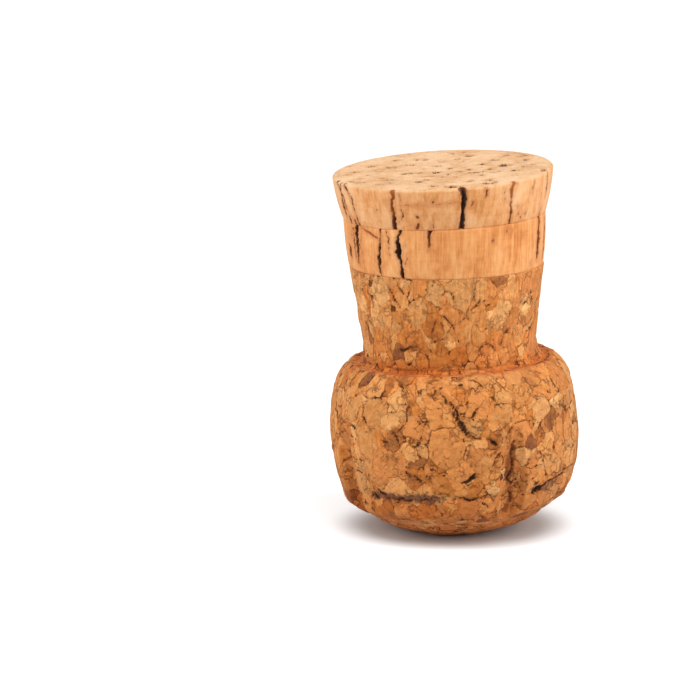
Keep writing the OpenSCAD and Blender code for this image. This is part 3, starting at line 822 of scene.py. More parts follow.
def picked_granule(nodes, tears):
    """Which of a face's three granules a place is in, and the two seams beside it.

    Each seam is moved by how differently its two granules tear, and the sides of the three seams on which
    the place lies say which granule it is. Gives that granule's finish, brightness and turn, and then the
    distances and the glue of its two seams."""
    math_ = nodes.math
    names = ("finish", "brightness", "grain_turn", "seam", "glue")
    finishes, brightnesses, turns, seams, bonds = (nodes.split(nodes.attribute(name)) for name in names)

    def torn(distance, i, j):
        """A seam's distance, plus the tears times how its granules differ in turn and brightness."""
        first = math_("MULTIPLY", math_("SUBTRACT", turns[j], turns[i]), tears[0])
        both = math_("MULTIPLY_ADD", math_("SUBTRACT", brightnesses[j], brightnesses[i]), tears[1], first)
        return math_("MULTIPLY_ADD", both, TEAR_REACH, distance)

    ab, ac, bc = torn(seams[0], 0, 1), torn(seams[1], 0, 2), torn(seams[2], 1, 2)
    is_a = math_("MULTIPLY", math_("GREATER_THAN", ab, 0.0), math_("GREATER_THAN", ac, 0.0))
    is_b = math_("MULTIPLY", math_("SUBTRACT", 1.0, is_a), math_("GREATER_THAN", bc, 0.0))
    is_c = math_("SUBTRACT", math_("SUBTRACT", 1.0, is_a), is_b)

    def of_nearest(a, b, c):
        """The one of three values that belongs to the granule picked."""
        total = math_("MULTIPLY", a, is_a)
        total = math_("MULTIPLY_ADD", b, is_b, total)
        return math_("MULTIPLY_ADD", c, is_c, total)

    ab, ac, bc = (math_("ABSOLUTE", value) for value in (ab, ac, bc))
    beside = of_nearest(ab, ab, ac), of_nearest(ac, bc, bc)
    glues = of_nearest(bonds[0], bonds[0], bonds[1]), of_nearest(bonds[1], bonds[2], bonds[2])
    return of_nearest(*finishes), of_nearest(*brightnesses), of_nearest(*turns), beside, glues


def pinholes(nodes, place):
    """1 in round pinholes: the distance to scattered points, less a size that wanders."""
    cells = nodes.add("TexVoronoi", {"Vector": place, "Scale": 2.1, "Randomness": 1.0})
    size = nodes.span(nodes.noise(place, 0.9), 0.42, 0.75, 0.0, 0.24)
    return nodes.span(nodes.math("SUBTRACT", cells.outputs["Distance"], size), -0.04, 0.03, 1.0, 0.0)


# Painted shade along each granule's border, in pinholes and in voids; the browns of crumbs, splits and glue.
BORDER_SHADE_BROWN, PINHOLE_SHADE_BROWN, CRUMB_BROWN = (0.26, 0.070, 0.011), (0.16, 0.040, 0.006), (0.20, 0.048, 0.006)
SPLIT_BROWN, GLUE_BROWN, VOID_SHADE_BROWN = (0.17, 0.040, 0.005), (0.155, 0.034, 0.004), (0.075, 0.018, 0.003)
# Soot; the darker, redder colour of stain and painted shade in the neck's corner and the wires' grooves; and
# the pale of painted highlights.
SOOT_GREY, DEEP_STAIN_AND_SHADE, HIGHLIGHT_PALE = (0.085, 0.037, 0.024), (0.14, 0.031, 0.007), (0.62, 0.325, 0.148)
# The cracks' rim, then the black of painted shade where a crack is open, and the brown where it is filled.
CRACK_RIM, CRACK_SHADE_BLACK, CRACK_BROWN = (0.26, 0.066, 0.011), (0.03, 0.010, 0.003), (0.21, 0.052, 0.009)
# What the cork's own colour is multiplied by where it is warmed by stain and by painted shade, unlifted.
WARM_TINT = (0.90, 0.58, 0.30, 1.0)
# How far, in mm, a seam moves between granules that tear differently.
TEAR_REACH = 2.6
# A whole turn in radians, and the height of the cork's fine relief in metres.
FULL_TURN, BODY_RELIEF = 6.283, 0.00026


def agglomerated_cork():
    """Granules, each with its own finish and grain; over them glue, voids, crumbs, marks, painted highlights
    and cracks.
    """
    material, nodes, shader = new_material("agglomerated_cork", {
        "Specular IOR Level": 0.06, "Sheen Weight": 0.05, "Sheen Roughness": 0.5})
    math_, span = nodes.math, nodes.span
    place = millimetres(nodes)
    tear_noise = {"Vector": place, "Scale": 1.3, "Detail": 5.0, "Roughness": 0.68}
    tears = nodes.add("TexNoise", tear_noise).outputs["Color"]
    tears = nodes.vector("SUBTRACT", tears, (0.5, 0.5, 0.5))
    finish, bright, turned, seams, bonds = picked_granule(nodes, nodes.split(tears))
    near, far = math_("MINIMUM", *seams), math_("MAXIMUM", *seams)

    angle = math_("MULTIPLY", turned, FULL_TURN)
    spin = {"Vector": place, "Axis": (0.2, 1.0, 0.15), "Angle": angle}
    rotated = nodes.add("VectorRotate", spin).outputs[0]
    streaks, mottle = grain(nodes, rotated, 2.0, 1.1)
    holes = pinholes(nodes, rotated)
    speckle = nodes.noise(place, 4.2, 4.0, 0.75)
    tones = [lifted(*colour)[:3] for colour, _ in FINISHES.values()]
    colour = nodes.ramp(nodes.swayed(finish, mottle, 0.75), tones)
    shade = math_("MULTIPLY", span(bright, 0.0, 1.0, 0.90, 1.09), span(streaks, 0.28, 0.72, 0.84, 1.13))
    shade = math_("MULTIPLY", shade, span(speckle, 0.30, 0.68, 0.88, 1.10))
    # A painted highlight beside each seam, where the granule's raised edge would catch the light.
    lip_highlight = math_("MULTIPLY", span(near, 0.03, 0.12), span(near, 0.14, 0.42, 1.0, 0.0))
    colour = nodes.shaded(colour, math_("MULTIPLY_ADD", lip_highlight, 0.10, shade))

    # The glue shows as a thin line that comes and goes; where three granules leave a gap, painted shade
    # fills the void.
    edge, filling, rubbed = nodes.split(nodes.attribute("crack"))
    broken = nodes.noise(place, 0.8, 3.0, 0.6)
    width = span(broken, 0.36, 0.66, 0.015, 0.085)
    lines = []
    for seam, bond in zip(seams, bonds):
        line = span(math_("SUBTRACT", seam, width), -0.02, 0.07, 1.0, 0.0)
        drawn = math_("MULTIPLY", math_("SUBTRACT", broken, 0.54), 3.2)
        drawn = math_("MULTIPLY_ADD", bond, 0.9, drawn, clamp=True)
        lines.append(math_("MULTIPLY", line, drawn))
    glue = math_("MULTIPLY", math_("MAXIMUM", *lines), math_("MULTIPLY_ADD", rubbed, -0.40, 1.0))
    border = span(near, 0.0, 0.45, 1.0, 0.0)
    gap = math_("MULTIPLY_ADD", far, 0.55, near)
    open_size = span(nodes.noise(place, 0.7, 3.0, 0.6), 0.50, 0.70, -0.10, 0.34)
    void = span(math_("SUBTRACT", gap, open_size), -0.04, 0.04, 1.0, 0.0)

    # Rough patches are broken up once more, into crumbs about a millimetre across, less so on the shank.
    smooth = math_("MULTIPLY_ADD", rubbed, -0.35, 1.0)
    rough_zone = span(nodes.noise(place, 0.33, 2.0), 0.44, 0.62)
    crumbs = math_("MULTIPLY", span(speckle, 0.60, 0.70), math_("MULTIPLY_ADD", rough_zone, 0.85, 0.10))
    crumbs = math_("MULTIPLY", crumbs, smooth)
    split_cells = {"Vector": nodes.vector("ADD", place, nodes.scaled(tears, 1.3)), "Scale": 0.95}
    splits = nodes.add("TexVoronoi", split_cells, feature="DISTANCE_TO_EDGE").outputs["Distance"]
    split_zone = span(nodes.noise(place, 0.55, 3.0, 0.6), 0.46, 0.62)
    splits = math_("MULTIPLY", span(splits, 0.0, 0.075, 1.0, 0.0), split_zone)
    splits = math_("MULTIPLY", splits, smooth)
    # Laid over in this order: painted shade along the borders and in pinholes, crumbs, splits, glue, painted
    # shade in voids.
    for part, strength, paint in (
        (border, 0.18, BORDER_SHADE_BROWN), (holes, 0.5, PINHOLE_SHADE_BROWN), (crumbs, 0.60, CRUMB_BROWN),
        (splits, 0.60, SPLIT_BROWN), (glue, 0.85, GLUE_BROWN), (void, 0.9, VOID_SHADE_BROWN),
    ):
        colour = nodes.painted(colour, part, strength, lifted(*paint))

    soot, warm, deep = nodes.split(nodes.attribute("marks"))
    ragged = nodes.noise(place, 1.9, 4.0, 0.7)
    soot = span(nodes.swayed(soot, ragged, 2.4), 0.28, 0.74)
    deep = span(nodes.swayed(deep, ragged, 1.0), 0.30, 0.85)
    warm = math_("MULTIPLY", warm, span(mottle, 0.3, 0.65, 0.6, 1.0))
    # Warm: stain on the lower shank, and stain with painted shade round the neck's corner, on the flat ring
    # and under the crease.
    colour = nodes.painted(colour, warm, 0.95, nodes.mix(1.0, colour, WARM_TINT, "MULTIPLY"))
    colour = nodes.painted(colour, soot, 0.80, lifted(*SOOT_GREY))
    # The neck's corner and the wires' grooves: stain and painted shade.
    colour = nodes.painted(colour, deep, 0.75, lifted(*DEEP_STAIN_AND_SHADE))

    # The bottle's neck squeezed the shank: paler, with fine upright wrinkles.
    upright = nodes.noise(nodes.vector("MULTIPLY", place, (1.0, 1.0, 0.10)), 2.4, 3.0, 0.6)
    wrinkle = math_("MULTIPLY", math_("SUBTRACT", upright, 0.5), rubbed)
    shade = math_("MULTIPLY_ADD", wrinkle, 0.9, math_("MULTIPLY_ADD", rubbed, 0.13, 1.0))
    colour = nodes.shaded(colour, shade)
    # Painted highlights: the pale line low on the dome and on the head's upper edge.
    painted_highlight = math_("MULTIPLY", nodes.split(nodes.attribute("painted_highlight"))[0], span(speckle, 0.36, 0.56))
    colour = nodes.painted(colour, painted_highlight, 0.55, lifted(*HIGHLIGHT_PALE))
    opening, rim, depth = pores(nodes, place, edge, 0.34, 0.85)
    colour = nodes.painted(colour, rim, 0.30, lifted(*CRACK_RIM))
    # Open cracks are painted black, painted shade inside them; filled ones brown.
    inside = nodes.mix(filling, lifted(*CRACK_SHADE_BLACK), lifted(*CRACK_BROWN))
    colour = nodes.painted(colour, opening, 0.95, inside)

    height = math_("MULTIPLY_ADD", speckle, 0.35, math_("MULTIPLY", mottle, 0.6))
    height = math_("MULTIPLY_ADD", wrinkle, 2.0, height)
    for hollow, reach in (
        (glue, 0.55), (splits, 0.5), (void, 0.9), (holes, 0.5), (crumbs, 0.5), (soot, 0.3), (depth, 1.1),
    ):
        height = math_("MULTIPLY_ADD", hollow, -reach, height)
    cork_surface(nodes, shader, colour, mottle, 0.95, height, BODY_RELIEF, 0.9)
    return material


body = new_piece(
    "agglomerated_body", stand(places), quads, triangles,
    agglomerated_cork(), "agglomerate_body")
give(body, "marks", "POINT", marks)
give(body, "crack", "POINT", cracks)
give(body, "painted_highlight", "POINT", highlight_marks)
# Every face knows its three granules, and its corners how far they are from the seams between them.
corners, sides = face_corners(quads, triangles)
face_of = np.repeat(np.arange(len(sides)), sides)
stirred = np.concatenate([stirred, stirred[[0, -1]]])
totals = np.zeros((face_of[-1] + 1, 3))
np.add.at(totals, face_of, stirred[corners])
three = nearest_three(totals / np.bincount(face_of)[:, None], centres, radii)
give(body, "seam", "CORNER", seam_distances(stirred[corners], three[face_of], centres, radii))
give(body, "finish", "FACE", finish[three])
give(body, "brightness", "FACE", brightness[three])
give(body, "grain_turn", "FACE", grain_turn[three])
give(body, "glue", "FACE", glue_strengths(three))


# ---- Inner disc ----
# A disc of natural cork, punched across the bark, so that its dark breathing pores run up its side. It is
# glued to the body's sloping face and is warmer in colour than the end disc, because it met the wine less.

SHEET_COLUMNS = 680
INNER_TOP_Z, INNER_TOP_R = 41.5, 13.15
DISC_BULGE = 0.13
EDGE_ROUND = 0.06
SLIT_DEPTH = 0.9
# The distance between the rows of a disc's side, and the radius at which this disc's slits are measured.
DISC_STEP, INNER_MEAN_R = 0.15, 12.9
# The rings that divide a flat face, as shares of its radius.
FLAT_RINGS = (0.25, 0.6, 0.9)
# The height of natural cork's fine relief, in metres.
NATURAL_RELIEF = 0.00018
# How much each slit's half width is taken in, in mm, because its edges fray outwards.
SLIT_THINNED = 0.03
# Each slit runs through its points: turn from the front in degrees, height, width, and how brown its
# filling is, from 0 for an open slit, painted black as the shade inside it, to 1 for one that is filled.
INNER_SLITS = [
    [(-59.4, 41.6, 0.6, 0.2), (-60.2, 40.6, 0.85, 0.1), (-60.8, 39.4, 0.75, 0.1), (-61.6, 37.8, 0.5, 0.3),
     (-62.5, 36.4, 0.2, 0.4)],
    [(-64.0, 40.9, 0.24, 0.4), (-64.4, 39.2, 0.3, 0.3), (-65.0, 36.8, 0.2, 0.5)],
    [(-57.4, 40.2, 0.16, 0.5), (-58.4, 38.4, 0.2, 0.4)],
    [(-54, 41.2, 0.25, 0.9), (-48, 40.8, 0.4, 0.8), (-42, 40.2, 0.35, 0.9)],
    [(-39, 41.6, 0.25, 0.3), (-40.5, 39.6, 0.3, 0.2), (-41.5, 38.4, 0.55, 0.1), (-42.5, 36.6, 0.4, 0.2),
     (-43, 35.4, 0.3, 0.3)],
    [(-35.6, 41.5, 0.26, 0.4), (-34.6, 39.6, 0.22, 0.5), (-34, 38.0, 0.14, 0.7)],
    [(-26, 41.6, 0.3, 0.2), (-28, 40.4, 0.35, 0.2), (-28.6, 39.8, 0.7, 0.0), (-28.2, 38.5, 0.7, 0.0),
     (-27.4, 37.2, 0.45, 0.1), (-27, 35.3, 0.6, 0.1)],
    [(-24, 38.4, 0.1, 0.7), (-24, 37.0, 0.16, 0.8)],
    [(-9, 41.6, 0.9, 0.5), (-9.3, 40.8, 0.5, 0.4), (-10, 39.0, 0.2, 0.6)],
    [(66.2, 41.6, 0.5, 0.6), (66.0, 39.8, 0.62, 0.5), (65.6, 38.2, 0.85, 0.5), (65.0, 36.6, 0.75, 0.5),
     (64.6, 35.9, 0.3, 0.7)],
]
# How many slits and flecks are strewn by chance, and over how wide a turn from the back.
STREWN_SLITS, STREWN_FLECKS = 9, 26


def strewn_slits(draw, low, high, slits, flecks, spread=112.0):
    """Slits up the hidden side of a disc, each a wandering line with thinner ends, and flecks all round."""
    found = []
    for turn_at in 180.0 + np.linspace(-spread, spread, slits) + draw.uniform(-9, 9, slits):
        ends = np.sort(draw.uniform(low - 0.3, high + 0.3, 2))
        ends = ends if ends[1] - ends[0] > 1.6 else np.array([low + 0.6, high - 0.4])
        heights = np.linspace(ends[0], ends[1], 4)
        turns = turn_at + np.cumsum(draw.normal(0.0, 0.8, 4))
        widths = draw.uniform(0.35, 0.85) * np.array([0.5, 1.0, 0.9, 0.5]) * draw.uniform(0.7, 1.3, 4)
        found.append([(*point, draw.uniform(0.0, 0.6)) for point in zip(turns, heights, widths)])
    for turn_at in draw.uniform(-180, 180, flecks):
        height, size = draw.uniform(low + 0.3, high - 0.3), draw.uniform(0.08, 0.22)
        end = height + draw.uniform(0.1, 0.9)
        found.append([(turn_at, height, size, 0.6), (turn_at + 0.3, end, 0.6 * size, 0.8)])
    return found


def disc_rows(low_r, high_r, span):
    """A disc's side as shares t of its height, and its radii: bulged by 4t(1 - t), with rounded ends."""
    shares = np.linspace(0.0, 1.0, int(round(span / DISC_STEP)) + 1)
    radii = low_r + (high_r - low_r) * shares + 4.0 * DISC_BULGE * shares * (1.0 - shares)
    from_end = np.minimum(shares, 1.0 - shares) * span
    return shares, radii - EDGE_ROUND * np.maximum(1.0 - from_end / EDGE_ROUND, 0.0) ** 2


def sunk_side(radii, heights, slits, radius, seed):
    """The grid of a disc's side with its slits sunk in, and the distance to their edges and their filling."""
    turns = np.linspace(0.0, 360.0, SHEET_COLUMNS, endpoint=False)[None, :] + 0.0 * radii
    side, front = np.sin(np.radians(turns)), -np.cos(np.radians(turns))
    where = np.stack([radius * side, radius * front, heights], axis=-1)
    torn = turns + (0.18 * noise(where, 0.9, seed) + 0.14 * noise(where, 0.35, seed + 1)) / np.radians(radius)
    edge, filling = slit_edges(torn, heights + 0.10 * noise(where, 0.5, seed + 2), radius, slits)
    edge = edge + 0.07 * noise(where, 0.3, seed + 3) + SLIT_THINNED
    depth = SLIT_DEPTH * (1.0 - 0.75 * filling) * rise(-edge, -0.04, 0.30)
    uneven = 0.05 * noise(where, 4.0, seed + 4) + 0.012 * noise(where, 0.5, seed + 5)
    r = radii - depth + uneven
    return np.stack([r * side, r * front, heights], axis=-1), edge, filling


NATURAL_FLECK = (0.500, 0.160, 0.048, 1.0)
NATURAL_RIMS = ((0.470, 0.170, 0.065, 1.0), (0.600, 0.200, 0.070, 1.0))
# The pores' hollows from open, painted black as the shade inside, to filled and brown.
NATURAL_HOLLOWS = ((0.034, 0.010, 0.003, 1.0), (0.400, 0.118, 0.026, 1.0))


def natural_cork(name, side_tones, face_tones, streak_strength):
    """Sawn natural cork: upright grain on the side, clouded on the face, with pores from `pore`.

    The tone sways about its middle by each pattern in turn. Rims and hollows go from open to filled."""
    material, nodes, shader = new_material(name, {
        "Specular IOR Level": 0.10, "Sheen Weight": 0.12, "Sheen Roughness": 0.45})
    math_, span = nodes.math, nodes.span
    place = millimetres(nodes)
    edge, filling, face = nodes.split(nodes.attribute("pore"))
    upright = nodes.vector("MULTIPLY", place, (1.0, 1.0, 0.16))
    streaks = grain(nodes, upright, 2.2, 1.1)[0]
    fine, cloud = grain(nodes, upright, 6.0, 0.30)
    layers = nodes.noise(nodes.vector("MULTIPLY", place, (0.25, 0.25, 3.2)), 1.0, 3.0, 0.6)
    mottle = nodes.noise(place, 1.1, 4.0, 0.62)
    tone = 0.5
    for waves, reach in ((streaks, 1.1 * streak_strength), (fine, 0.7 * streak_strength),
                         (cloud, 1.5), (layers, 0.35), (mottle, 0.8)):
        tone = nodes.swayed(tone, waves, reach)
    tone = nodes.swayed(tone, nodes.noise(place, 0.24, 2.0, 0.5), 1.1, clamp=True)
    colour = nodes.mix(face, nodes.ramp(tone, side_tones), nodes.ramp(tone, face_tones))

    fleck_place = nodes.vector("MULTIPLY", place, (1.0, 1.0, 0.55))
    spots = nodes.add("TexVoronoi", {"Vector": fleck_place, "Scale": 0.85, "Randomness": 1.0})
    spot_size = span(nodes.split(spots.outputs["Color"])[0], 0.55, 1.0, 0.0, 0.20)
    fleck = span(math_("SUBTRACT", spots.outputs["Distance"], spot_size), -0.10, 0.03, 1.0, 0.0)
    colour = nodes.painted(colour, math_("MULTIPLY", fleck, span(fine, 0.38, 0.62)), 0.55, NATURAL_FLECK)
    opening, rim, depth = pores(nodes, place, edge, 0.55, 0.36)
    rim = math_("MULTIPLY", rim, span(face, 0.0, 1.0, 0.45, 0.25))
    colour = nodes.mix(rim, colour, nodes.mix(filling, *NATURAL_RIMS))
    # Open pores and slits are painted black, painted shade inside them; filled ones take their filling's
    # brown.
    colour = nodes.painted(colour, opening, 0.96, nodes.mix(filling, *NATURAL_HOLLOWS))

    height = math_("MULTIPLY_ADD", fine, 0.22, math_("MULTIPLY", streaks, 0.30))
    height = math_("MULTIPLY_ADD", mottle, 0.30, height)
    height = math_("MULTIPLY_ADD", depth, math_("MULTIPLY_ADD", filling, 0.85, -1.0), height)
    cork_surface(nodes, shader, colour, mottle, 0.92, height, NATURAL_RELIEF, 0.7)
    return material


def glued_height(x):
    """Height of the body's glued face, which slopes down to the right."""
    return GLUE_Z - math.tan(GLUE_SLOPE) * x


def flat_rings(ring):
    """The rings of a flat face, outwards from near its middle to its edge."""
    middle = ring.mean(axis=0)
    return np.stack([middle + (ring - middle) * share for share in FLAT_RINGS])


draw = np.random.default_rng(41)
slits = INNER_SLITS + strewn_slits(draw, GLUE_Z, INNER_TOP_Z, STREWN_SLITS, STREWN_FLECKS)
shares, radii_up = disc_rows(GLUE_R, INNER_TOP_R, INNER_TOP_Z - GLUE_Z)
ring_turn = np.radians(np.linspace(0.0, 360.0, SHEET_COLUMNS, endpoint=False))[None, :]
low = glued_height(GLUE_R * np.sin(ring_turn))
heights = low + shares[:, None] * (INNER_TOP_Z - low)
grid, edge, filling = sunk_side(radii_up[:, None] + 0.0 * heights, heights, slits, INNER_MEAN_R, 51)

# Flat faces that follow the ragged edge close the disc, with a pole in the middle of each.
closed = np.concatenate([flat_rings(grid[0]), grid, flat_rings(grid[-1])[::-1]])
poles = [grid[0].mean(axis=0), grid[-1].mean(axis=0)]
count = closed.shape[0] * SHEET_COLUMNS
first_ring, last_ring = np.arange(SHEET_COLUMNS), np.arange(count - SHEET_COLUMNS, count)
places = np.concatenate([closed.reshape(-1, 3), poles]) - [SHANK_OFFSET, 0.0, 0.0]
triangles = np.concatenate([fan_faces(first_ring, count, False), fan_faces(last_ring, count + 1, True)])
# The tones of the side, from dark to light.
INNER_TONES = [(0.60, 0.205, 0.055), (0.75, 0.300, 0.095), (0.83, 0.375, 0.135), (0.87, 0.460, 0.200)]
inner = new_piece(
    "inner_cork_disc", stand(places), ring_faces(closed.shape[0], SHEET_COLUMNS), triangles,
    natural_cork("natural_cork_inner", INNER_TONES, INNER_TONES, 1.25), "inner_disc")
flat_count = len(FLAT_RINGS) * SHEET_COLUMNS
pore = np.zeros((len(places), 3))
pore[:, 0] = FAR_OUTSIDE
pore[flat_count:count - flat_count] = np.stack([capped(edge), filling, 0.0 * edge], axis=-1).reshape(-1, 3)
give(inner, "pore", "POINT", pore)


# ---- End disc ----
# The second disc of natural cork, glued on top of the first. Its end face is sawn a little off square and
# sanded, with the pores cut across, and its side has the widest slits. The rim is softly worn.

END_LOW_R, END_R, END_Z = 13.16, 14.35, 47.2
END_SLOPE_SIDE, END_SLOPE_FRONT = math.radians(0.9), math.radians(1.3)
RIM_ROUND = 0.36
# The radius at which this disc's slits are measured.
END_MEAN_R = 13.9
FACE_CELLS = SHEET_COLUMNS // 4
END_SLITS = [
    [(-76, 47.3, 0.32, 0.2), (-71, 46.2, 0.32, 0.1), (-67, 45.0, 0.34, 0.1), (-66, 43.4, 0.32, 0.1),
     (-65.6, 41.5, 0.38, 0.1)],
    [(-66, 47.3, 0.36, 0.2), (-61, 46.2, 0.34, 0.1), (-57.8, 45.0, 0.32, 0.1), (-57, 43.4, 0.3, 0.1),
     (-56.5, 41.5, 0.36, 0.1)],
    [(-60.4, 42.2, 0.26, 0.4), (-59.8, 41.5, 0.5, 0.3)],
    [(-24, 44.86, 0.1, 1.0), (-12, 44.95, 0.1, 1.0), (2, 45.12, 0.1, 1.0), (8.5, 45.18, 0.08, 1.0)],
    [(65.9, 42.4, 0.2, 0.7), (65.8, 41.5, 0.4, 0.7)],
    [(-28, 47.4, 0.65, 1.0), (-28, 45.8, 0.6, 0.9), (-28.6, 45.2, 0.42, 0.7), (-29, 43.6, 0.36, 0.6),
     (-29, 43.0, 0.7, 0.35), (-29.4, 41.5, 0.6, 0.3)],
    [(-24.8, 46.6, 0.14, 0.6), (-23, 45.9, 0.18, 0.6), (-23.4, 45.4, 0.12, 0.6)],
    [(-24, 44.3, 0.14, 0.6), (-23, 43.4, 0.2, 0.5), (-25.6, 42.6, 0.14, 0.6)],
    [(-15.5, 43.4, 0.35, 0.8), (-15, 43.2, 0.4, 0.8)],
    [(-16, 42.3, 0.45, 0.7), (-16, 41.8, 0.5, 0.7)],
    [(-6.5, 45.4, 0.2, 0.4), (-6.4, 45.2, 0.16, 0.4)],
    [(-33, 45.2, 0.18, 0.5), (-32.6, 45.0, 0.14, 0.5)],
    [(9.2, 47.5, 1.45, 0.2), (9.3, 46.9, 1.0, 0.1), (9.4, 46.0, 0.8, 0.0), (9.4, 44.8, 0.72, 0.0),
     (9.0, 43.6, 0.68, 0.0), (8.4, 42.6, 0.8, 0.1), (8.1, 41.5, 1.15, 0.2)],
    [(7.6, 47.4, 0.3, 0.3), (8.4, 45.6, 0.26, 0.3), (8.2, 43.0, 0.24, 0.4)],
    [(11.2, 47.3, 0.28, 0.3), (10.4, 45.9, 0.24, 0.3), (9.8, 43.4, 0.24, 0.4)],
    [(6.4, 47.5, 0.5, 0.3), (7.8, 46.6, 0.3, 0.5)],
    [(12.0, 47.5, 0.4, 0.4), (11.0, 46.9, 0.3, 0.6)],
    [(21.6, 46.4, 0.28, 0.5), (20.8, 45.5, 0.16, 0.6)],
    [(38.4, 47.4, 0.42, 1.0), (36.6, 46.0, 0.42, 0.9), (36.8, 44.0, 0.36, 0.8), (37.4, 42.6, 0.4, 0.5),
     (37.6, 41.5, 0.26, 0.5)],
    [(32.2, 46.3, 0.1, 0.7), (32.6, 44.8, 0.1, 0.7)],
    [(41.8, 43.8, 0.18, 0.6), (42.4, 43.4, 0.14, 0.6)],
    [(43.8, 43.0, 0.2, 0.6), (44.4, 42.6, 0.16, 0.6)],
    [(46.2, 42.2, 0.2, 0.6), (46.6, 41.9, 0.16, 0.6)],
    [(53.6, 46.5, 0.16, 0.5), (53, 45.8, 0.26, 0.5)],
]
# Pores cut across in the end face: place, sizes along and across its own turn, and that turn in degrees
# from +X.
FACE_PORES = [
    (7.9, 0.8, 1.5, 0.9, 0), (4.3, -3.4, 2.4, 0.32, 12), (3.7, 8.6, 1.0, 0.5, -20),
    (5.0, 2.3, 1.1, 0.45, -15), (3.2, -0.7, 1.2, 0.4, 20), (-9.0, 4.8, 1.2, 0.4, 35),
    (-6.6, 3.1, 1.6, 0.3, 5), (-4.0, 4.6, 0.7, 0.4, 10), (-2.2, 8.0, 0.9, 0.4, 0),
    (-3.5, -1.6, 1.7, 0.35, -18), (-1.0, -1.6, 1.3, 0.45, 8), (-1.6, -4.1, 1.8, 0.28, 4),
    (-3.3, -7.7, 0.7, 0.5, 0), (-1.2, -11.5, 1.2, 0.5, 3), (0.8, -12.3, 1.5, 0.5, 3),
    (-7.8, -4.0, 0.8, 0.4, 20), (-6.9, -5.4, 0.9, 0.3, 0), (-4.6, -1.4, 0.8, 0.3, 0),
    (-5.8, 8.2, 0.8, 0.4, 0), (9.2, -3.4, 1.0, 0.5, -12), (11.0, 4.0, 0.9, 0.4, 0),
    (13.0, -4.2, 0.7, 0.6, 0), (4.8, -5.5, 0.8, 0.4, 15), (5.8, -9.1, 1.1, 0.5, 0),
    (5.3, -11.3, 0.9, 0.4, 0), (6.5, -10.6, 0.6, 0.5, 0), (2.6, 5.2, 0.7, 0.3, 0),
    (-0.8, 3.0, 0.8, 0.25, 10), (8.4, 7.6, 0.8, 0.3, -10), (-8.6, -0.6, 0.6, 0.3, 0),
    (-11.2, 1.4, 0.9, 0.25, 15), (1.4, 11.4, 0.7, 0.35, 0), (10.6, -0.6, 0.7, 0.25, 0),
    (0.9, 0.9, 0.5, 0.25, 0), (-11.0, -5.6, 0.7, 0.3, 30), (6.9, 4.6, 0.6, 0.3, 0),
]
# What the list's sizes along and across are multiplied by.
PORE_ALONG, PORE_ACROSS = 0.85, 2.1
PORE_DEPTH = 0.7
# How far each pore of the face is frayed past its nominal edge, in mm.
PORE_FRAYED = 0.09
# How brown the pores' fillings in the face are, from 0 for an open pore, painted black as its shade, to 1.
FACE_FILLING = 0.05
# How many pinprick pores lie between the main ones.
SMALL_PORES = 55


def end_height(x, y):
    """Height of the end face, which slopes up to the right and to the back."""
    return END_Z + math.tan(END_SLOPE_SIDE) * x + math.tan(END_SLOPE_FRONT) * y


def small_pores(draw, how_many):
    """Pinprick pores all over the face, each with its own length, width and turn."""
    reach = END_R * np.sqrt(draw.uniform(0.0, 0.9, how_many))
    turned = draw.uniform(0.0, 2 * np.pi, how_many)
    lengths = draw.uniform(0.20, 0.60, how_many)
    widths = draw.uniform(0.20, 0.55, how_many)
    tilts = draw.uniform(-90.0, 90.0, how_many)
    return list(zip(reach * np.cos(turned), reach * np.sin(turned), lengths, widths, tilts))


def pore_edges(x, y, all_pores):
    """Roughly the distance to the edge of the nearest pore, below 0 inside it.

    It is a place's distance in half lengths and half widths of the pore, less 1, times half the width."""
    nearest = np.full(x.shape, 9.0)
    for pore_x, pore_y, length, width, tilt in all_pores:
        out_x, out_y = math.cos(math.radians(tilt)), math.sin(math.radians(tilt))
        along = (x - pore_x) * out_x + (y - pore_y) * out_y
        across = (y - pore_y) * out_x - (x - pore_x) * out_y
        reach = np.hypot(along / (length / 2), across / (width / 2))
        nearest = np.minimum(nearest, (reach - 1.0) * width / 2)
    return nearest


def square_to_disc(cells):
    """A square grid pressed into a unit disc: each square ring becomes a circle, so there is no pole.

    Radius is the larger of the two square coordinates; the turn runs evenly along each side."""
    a, b = np.meshgrid(np.linspace(-1, 1, cells + 1), np.linspace(-1, 1, cells + 1), indexing="ij")
    wide = np.abs(a) > np.abs(b)
    radius = np.where(wide, a, b)
    with np.errstate(divide="ignore", invalid="ignore"):
        turn = np.where(wide, np.pi / 4 * b / a, np.pi / 2 - np.pi / 4 * a / b)
    turn = np.where(radius == 0.0, 0.0, turn)
    return radius * np.cos(turn), radius * np.sin(turn)


draw = np.random.default_rng(43)
slits = END_SLITS + strewn_slits(draw, INNER_TOP_Z, END_Z, STREWN_SLITS, STREWN_FLECKS)
rise_of_side = END_Z - INNER_TOP_Z
shares, radii_up = disc_rows(END_LOW_R, END_R, rise_of_side)
radii_up = radii_up + EDGE_ROUND * np.maximum(1.0 - (1.0 - shares) * rise_of_side / EDGE_ROUND, 0.0) ** 2
# The worn rim: rows that turn in over a quarter circle above the side.
over = np.radians(np.linspace(0.0, 90.0, 5))[1:]
keep = (1.0 - shares) * rise_of_side > RIM_ROUND
radii_up = np.r_[radii_up[keep], END_R - RIM_ROUND * (1.0 - np.cos(over))]
from_top = np.r_[(1.0 - shares[keep]) * rise_of_side, RIM_ROUND * (1.0 - np.sin(over))]
# The side's height follows the slope of the end face.
top = end_height(END_R * np.sin(ring_turn), -END_R * np.cos(ring_turn))
span_up = (top - INNER_TOP_Z) / rise_of_side
heights = top - from_top[:, None] * span_up
grid, edge, filling = sunk_side(radii_up[:, None] + 0.0 * heights, heights, slits, END_MEAN_R, 61)

